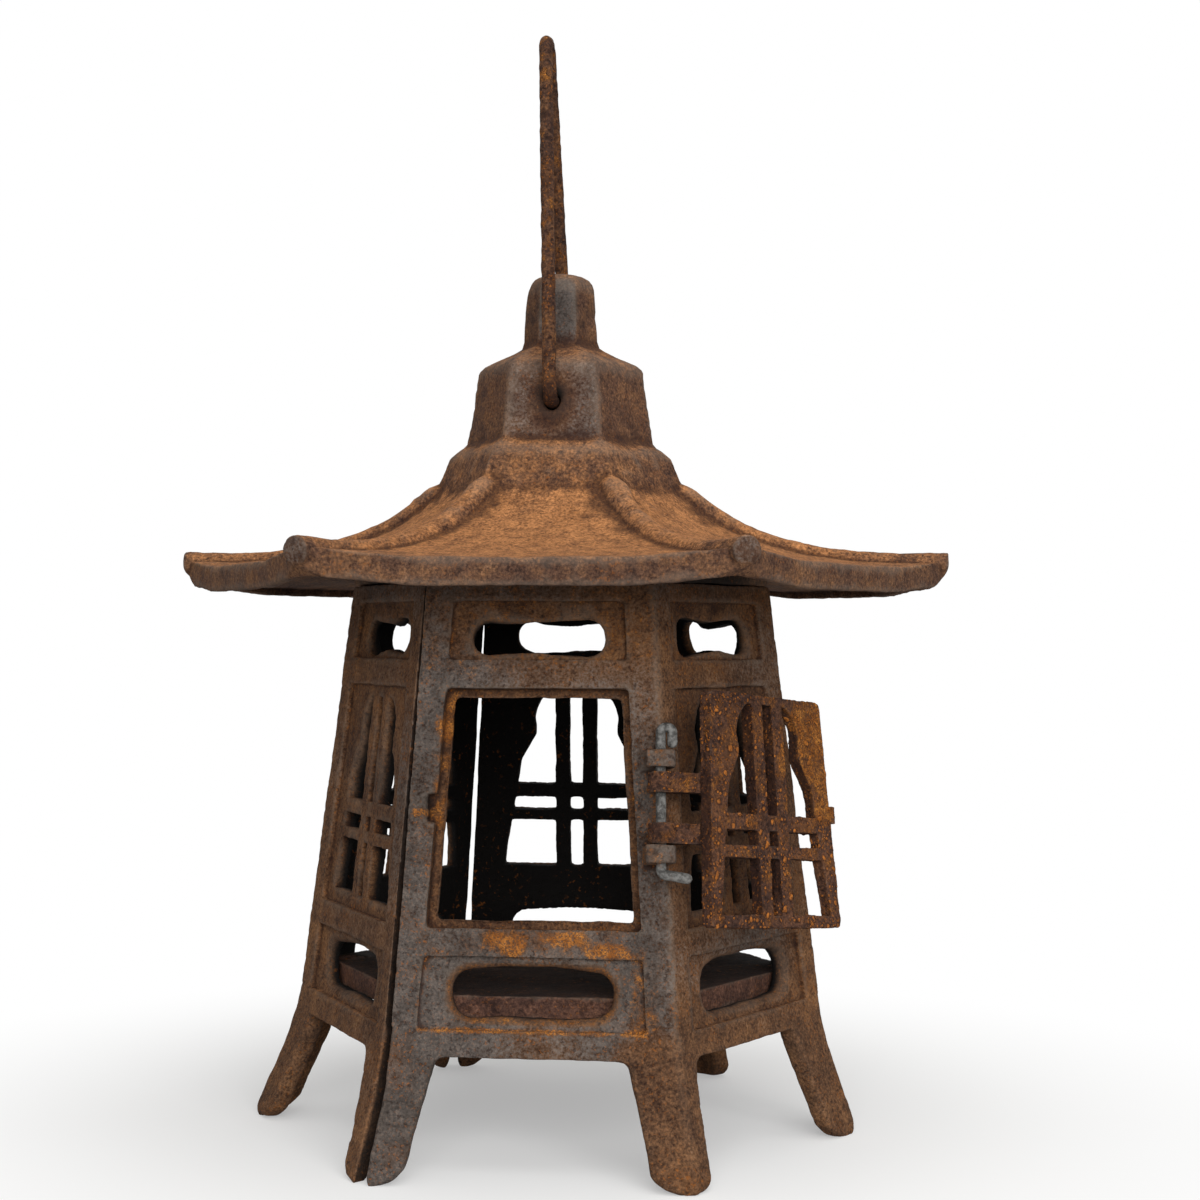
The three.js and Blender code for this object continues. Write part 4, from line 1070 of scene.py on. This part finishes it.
def rod(name, corners, radius, step, sides, place, uneven):
    """point(s, a) = line(s) + r (cos a across + sin a up). r falls to 0 in a quarter circle at the ends."""
    line, length = bent_line(corners, step)
    ahead = unit(np.gradient(line, axis=0))
    across = np.stack([-ahead[:, 1], ahead[:, 0]], axis=1)
    angle = np.linspace(0, 2 * math.pi, sides, endpoint=False)
    to_end = np.clip(np.minimum(length, length[-1] - length) / radius, 0, 1)
    reach = radius * np.sqrt(1 - (1 - to_end) ** 2)[:, None] * np.ones(sides)

    def grid(reach):
        """A circle of that reach round each point of the line."""
        flat = line[:, None] + (reach * np.cos(angle))[..., None] * across[:, None]
        return np.concatenate([flat, (reach * np.sin(angle))[..., None]], axis=2)

    eaten = uneven(grid(reach).reshape(-1, 3)).reshape(reach.shape)
    points = grid(reach * (1 + eaten))[1:-1].reshape(-1, 3)
    poles = np.concatenate([line[[0, -1]], np.zeros((2, 1))], axis=1)
    rings = len(line) - 2
    index = np.arange(rings * sides).reshape(rings, sides)
    beside = np.roll(index, -1, axis=1)
    quads = np.stack([index[:-1], beside[:-1], beside[1:], index[1:]], axis=-1).reshape(-1, 4)
    first, last = np.full(sides, rings * sides), np.full(sides, rings * sides + 1)
    caps = [np.stack([first, beside[0], index[0]], axis=1), np.stack([last, index[-1], beside[-1]], axis=1)]
    mesh = bpy.data.meshes.new(name)
    faces = quads.tolist() + np.concatenate(caps).tolist()
    mesh.from_pydata(place(np.concatenate([points, poles])).tolist(), [], faces)
    mesh.polygons.foreach_set("use_smooth", np.ones(len(faces), bool))
    mesh.update()
    return mesh


print("a bend of a right angle:", len(bent_line([(0, 0), (10, 0, 3), (10, 10)], 1)[0]), "points 1 mm apart")

# %% [markdown]
# ## The bail
#
# The bail is one rod bent into a steep triangle with a round crown. Its two ends turn in and sit in
# the holes of the upper tier. Scale has flaked off it in patches, which leaves it pitted and dark,
# most of all at its feet, where water runs down.

# %% Bail
bail_lean = math.radians(2.3)
bail_corners = [(-16.556, 0), (-32, 0, 4), (0, 143.94, 6), (32, 0, 4), (16.556, 0)]


def upright_on_roof(points):
    """Stands the bail's plane across the roof, at its holes, leaning a little to the left."""
    across, up, aside = points.T * MM
    x = aside * math.cos(bail_lean) - up * math.sin(bail_lean)
    z = bail_axis + up * math.cos(bail_lean) + aside * math.sin(bail_lean)
    return np.stack([x, across, z], axis=1)


def rust_pits(points):
    """Shares of the radius that rust adds or takes, in two sizes of cloud."""
    return 0.05 * cloud(points, 4, 90) + 0.07 * cloud(points, 1.7, 91)


bail = rod("pitted_bail", bail_corners, 2.2, 0.45, 28, upright_on_roof, rust_pits)
bail_points, _ = read_net(bail)
scale_rust = 0.7 * cloud(bail_points, 6 * MM, 92) + 0.8 * cloud(bail_points, 1.6 * MM, 93)
foot_dark = smooth_step(bail_points[:, 2], bail_axis + 11 * MM, bail_axis + 3 * MM)
dark = np.maximum(smooth_step(scale_rust, -0.1, -0.7), foot_dark)
carry(bail, {"crust": 0.6 * smooth_step(scale_rust, 0.0, 0.8) * (1 - foot_dark), "hollow": dark})
show("pitted_bail", bail, bail_iron, "bail", "bail_iron", "bail")
print("this bail's box", bail_points.min(axis=0).round(4), bail_points.max(axis=0).round(4))

# %% [markdown]
# ## The hinge pin
#
# The pin leans with the hinge: a little across the panel and a little back. Its top is folded
# over, and its tail is bent outwards under the lower knuckle so that it can't climb out.

# %% Hinge pin
hinge_across, hinge_up, hinge_out = 37.9, 110.0, 7.5
hinge_lean, hinge_pitch = math.radians(0.9), math.radians(2.6)
pin_corners = [(9, 88.8), (0, 90.4, 1.6), (0, 133.1, 1.6), (3.4, 133.1, 1.6), (3.4, 126.9)]


def beside_doorway(points):
    """Tilts the pin's own plane about the middle of the hinge, then sets it on the front panel."""
    x, y, z = (points - np.array([0, hinge_up, 0])).T
    back = y * math.cos(hinge_pitch) + z * math.sin(hinge_pitch)
    across = hinge_across + x * math.cos(hinge_lean) - back * math.sin(hinge_lean)
    up = hinge_up + x * math.sin(hinge_lean) + back * math.cos(hinge_lean)
    out = hinge_out + z * math.cos(hinge_pitch) - y * math.sin(hinge_pitch)
    depth = up * math.sin(panel_slope) - out * math.cos(panel_slope)
    height = up * math.cos(panel_slope) + out * math.sin(panel_slope)
    return MM * np.stack([across, depth - floor_apothem / MM, height], axis=1)


def wire_dents(points):
    """Shares of the radius, in one size of cloud."""
    return 0.04 * cloud(points, 3, 94)


pin = rod("zinc_pin", pin_corners, 1.5, 0.3, 24, beside_doorway, wire_dents)
pin_points, _ = read_net(pin)
show("zinc_pin", pin, zinc_wire, "lantern", "zinc_wire", "hinge_pin")
print("this pin's box", pin_points.min(axis=0).round(4), pin_points.max(axis=0).round(4))

# %% [markdown]
# ## Screws and nuts
#
# Three screws hold the roof and three hold the floor plate. They are small and hidden, so their
# solids stay, with welded, slightly broken edges from two modifiers.

# %% Screws and nuts
for name in sorted(nodes):
    if name.startswith(("roof_screw", "floor_screw", "floor_nut")):
        fastener = nodes[name]
        fastener.modifiers.new("weld", "WELD").merge_threshold = 1e-6
        edge = fastener.modifiers.new("broken_edge", "BEVEL")
        edge.width = 0.25 * MM
        edge.segments = 2
        edge.limit_method = "ANGLE"
        fastener.data.materials.clear()
        fastener.data.materials.append(screw_steel)
        print(name, "bevelled")
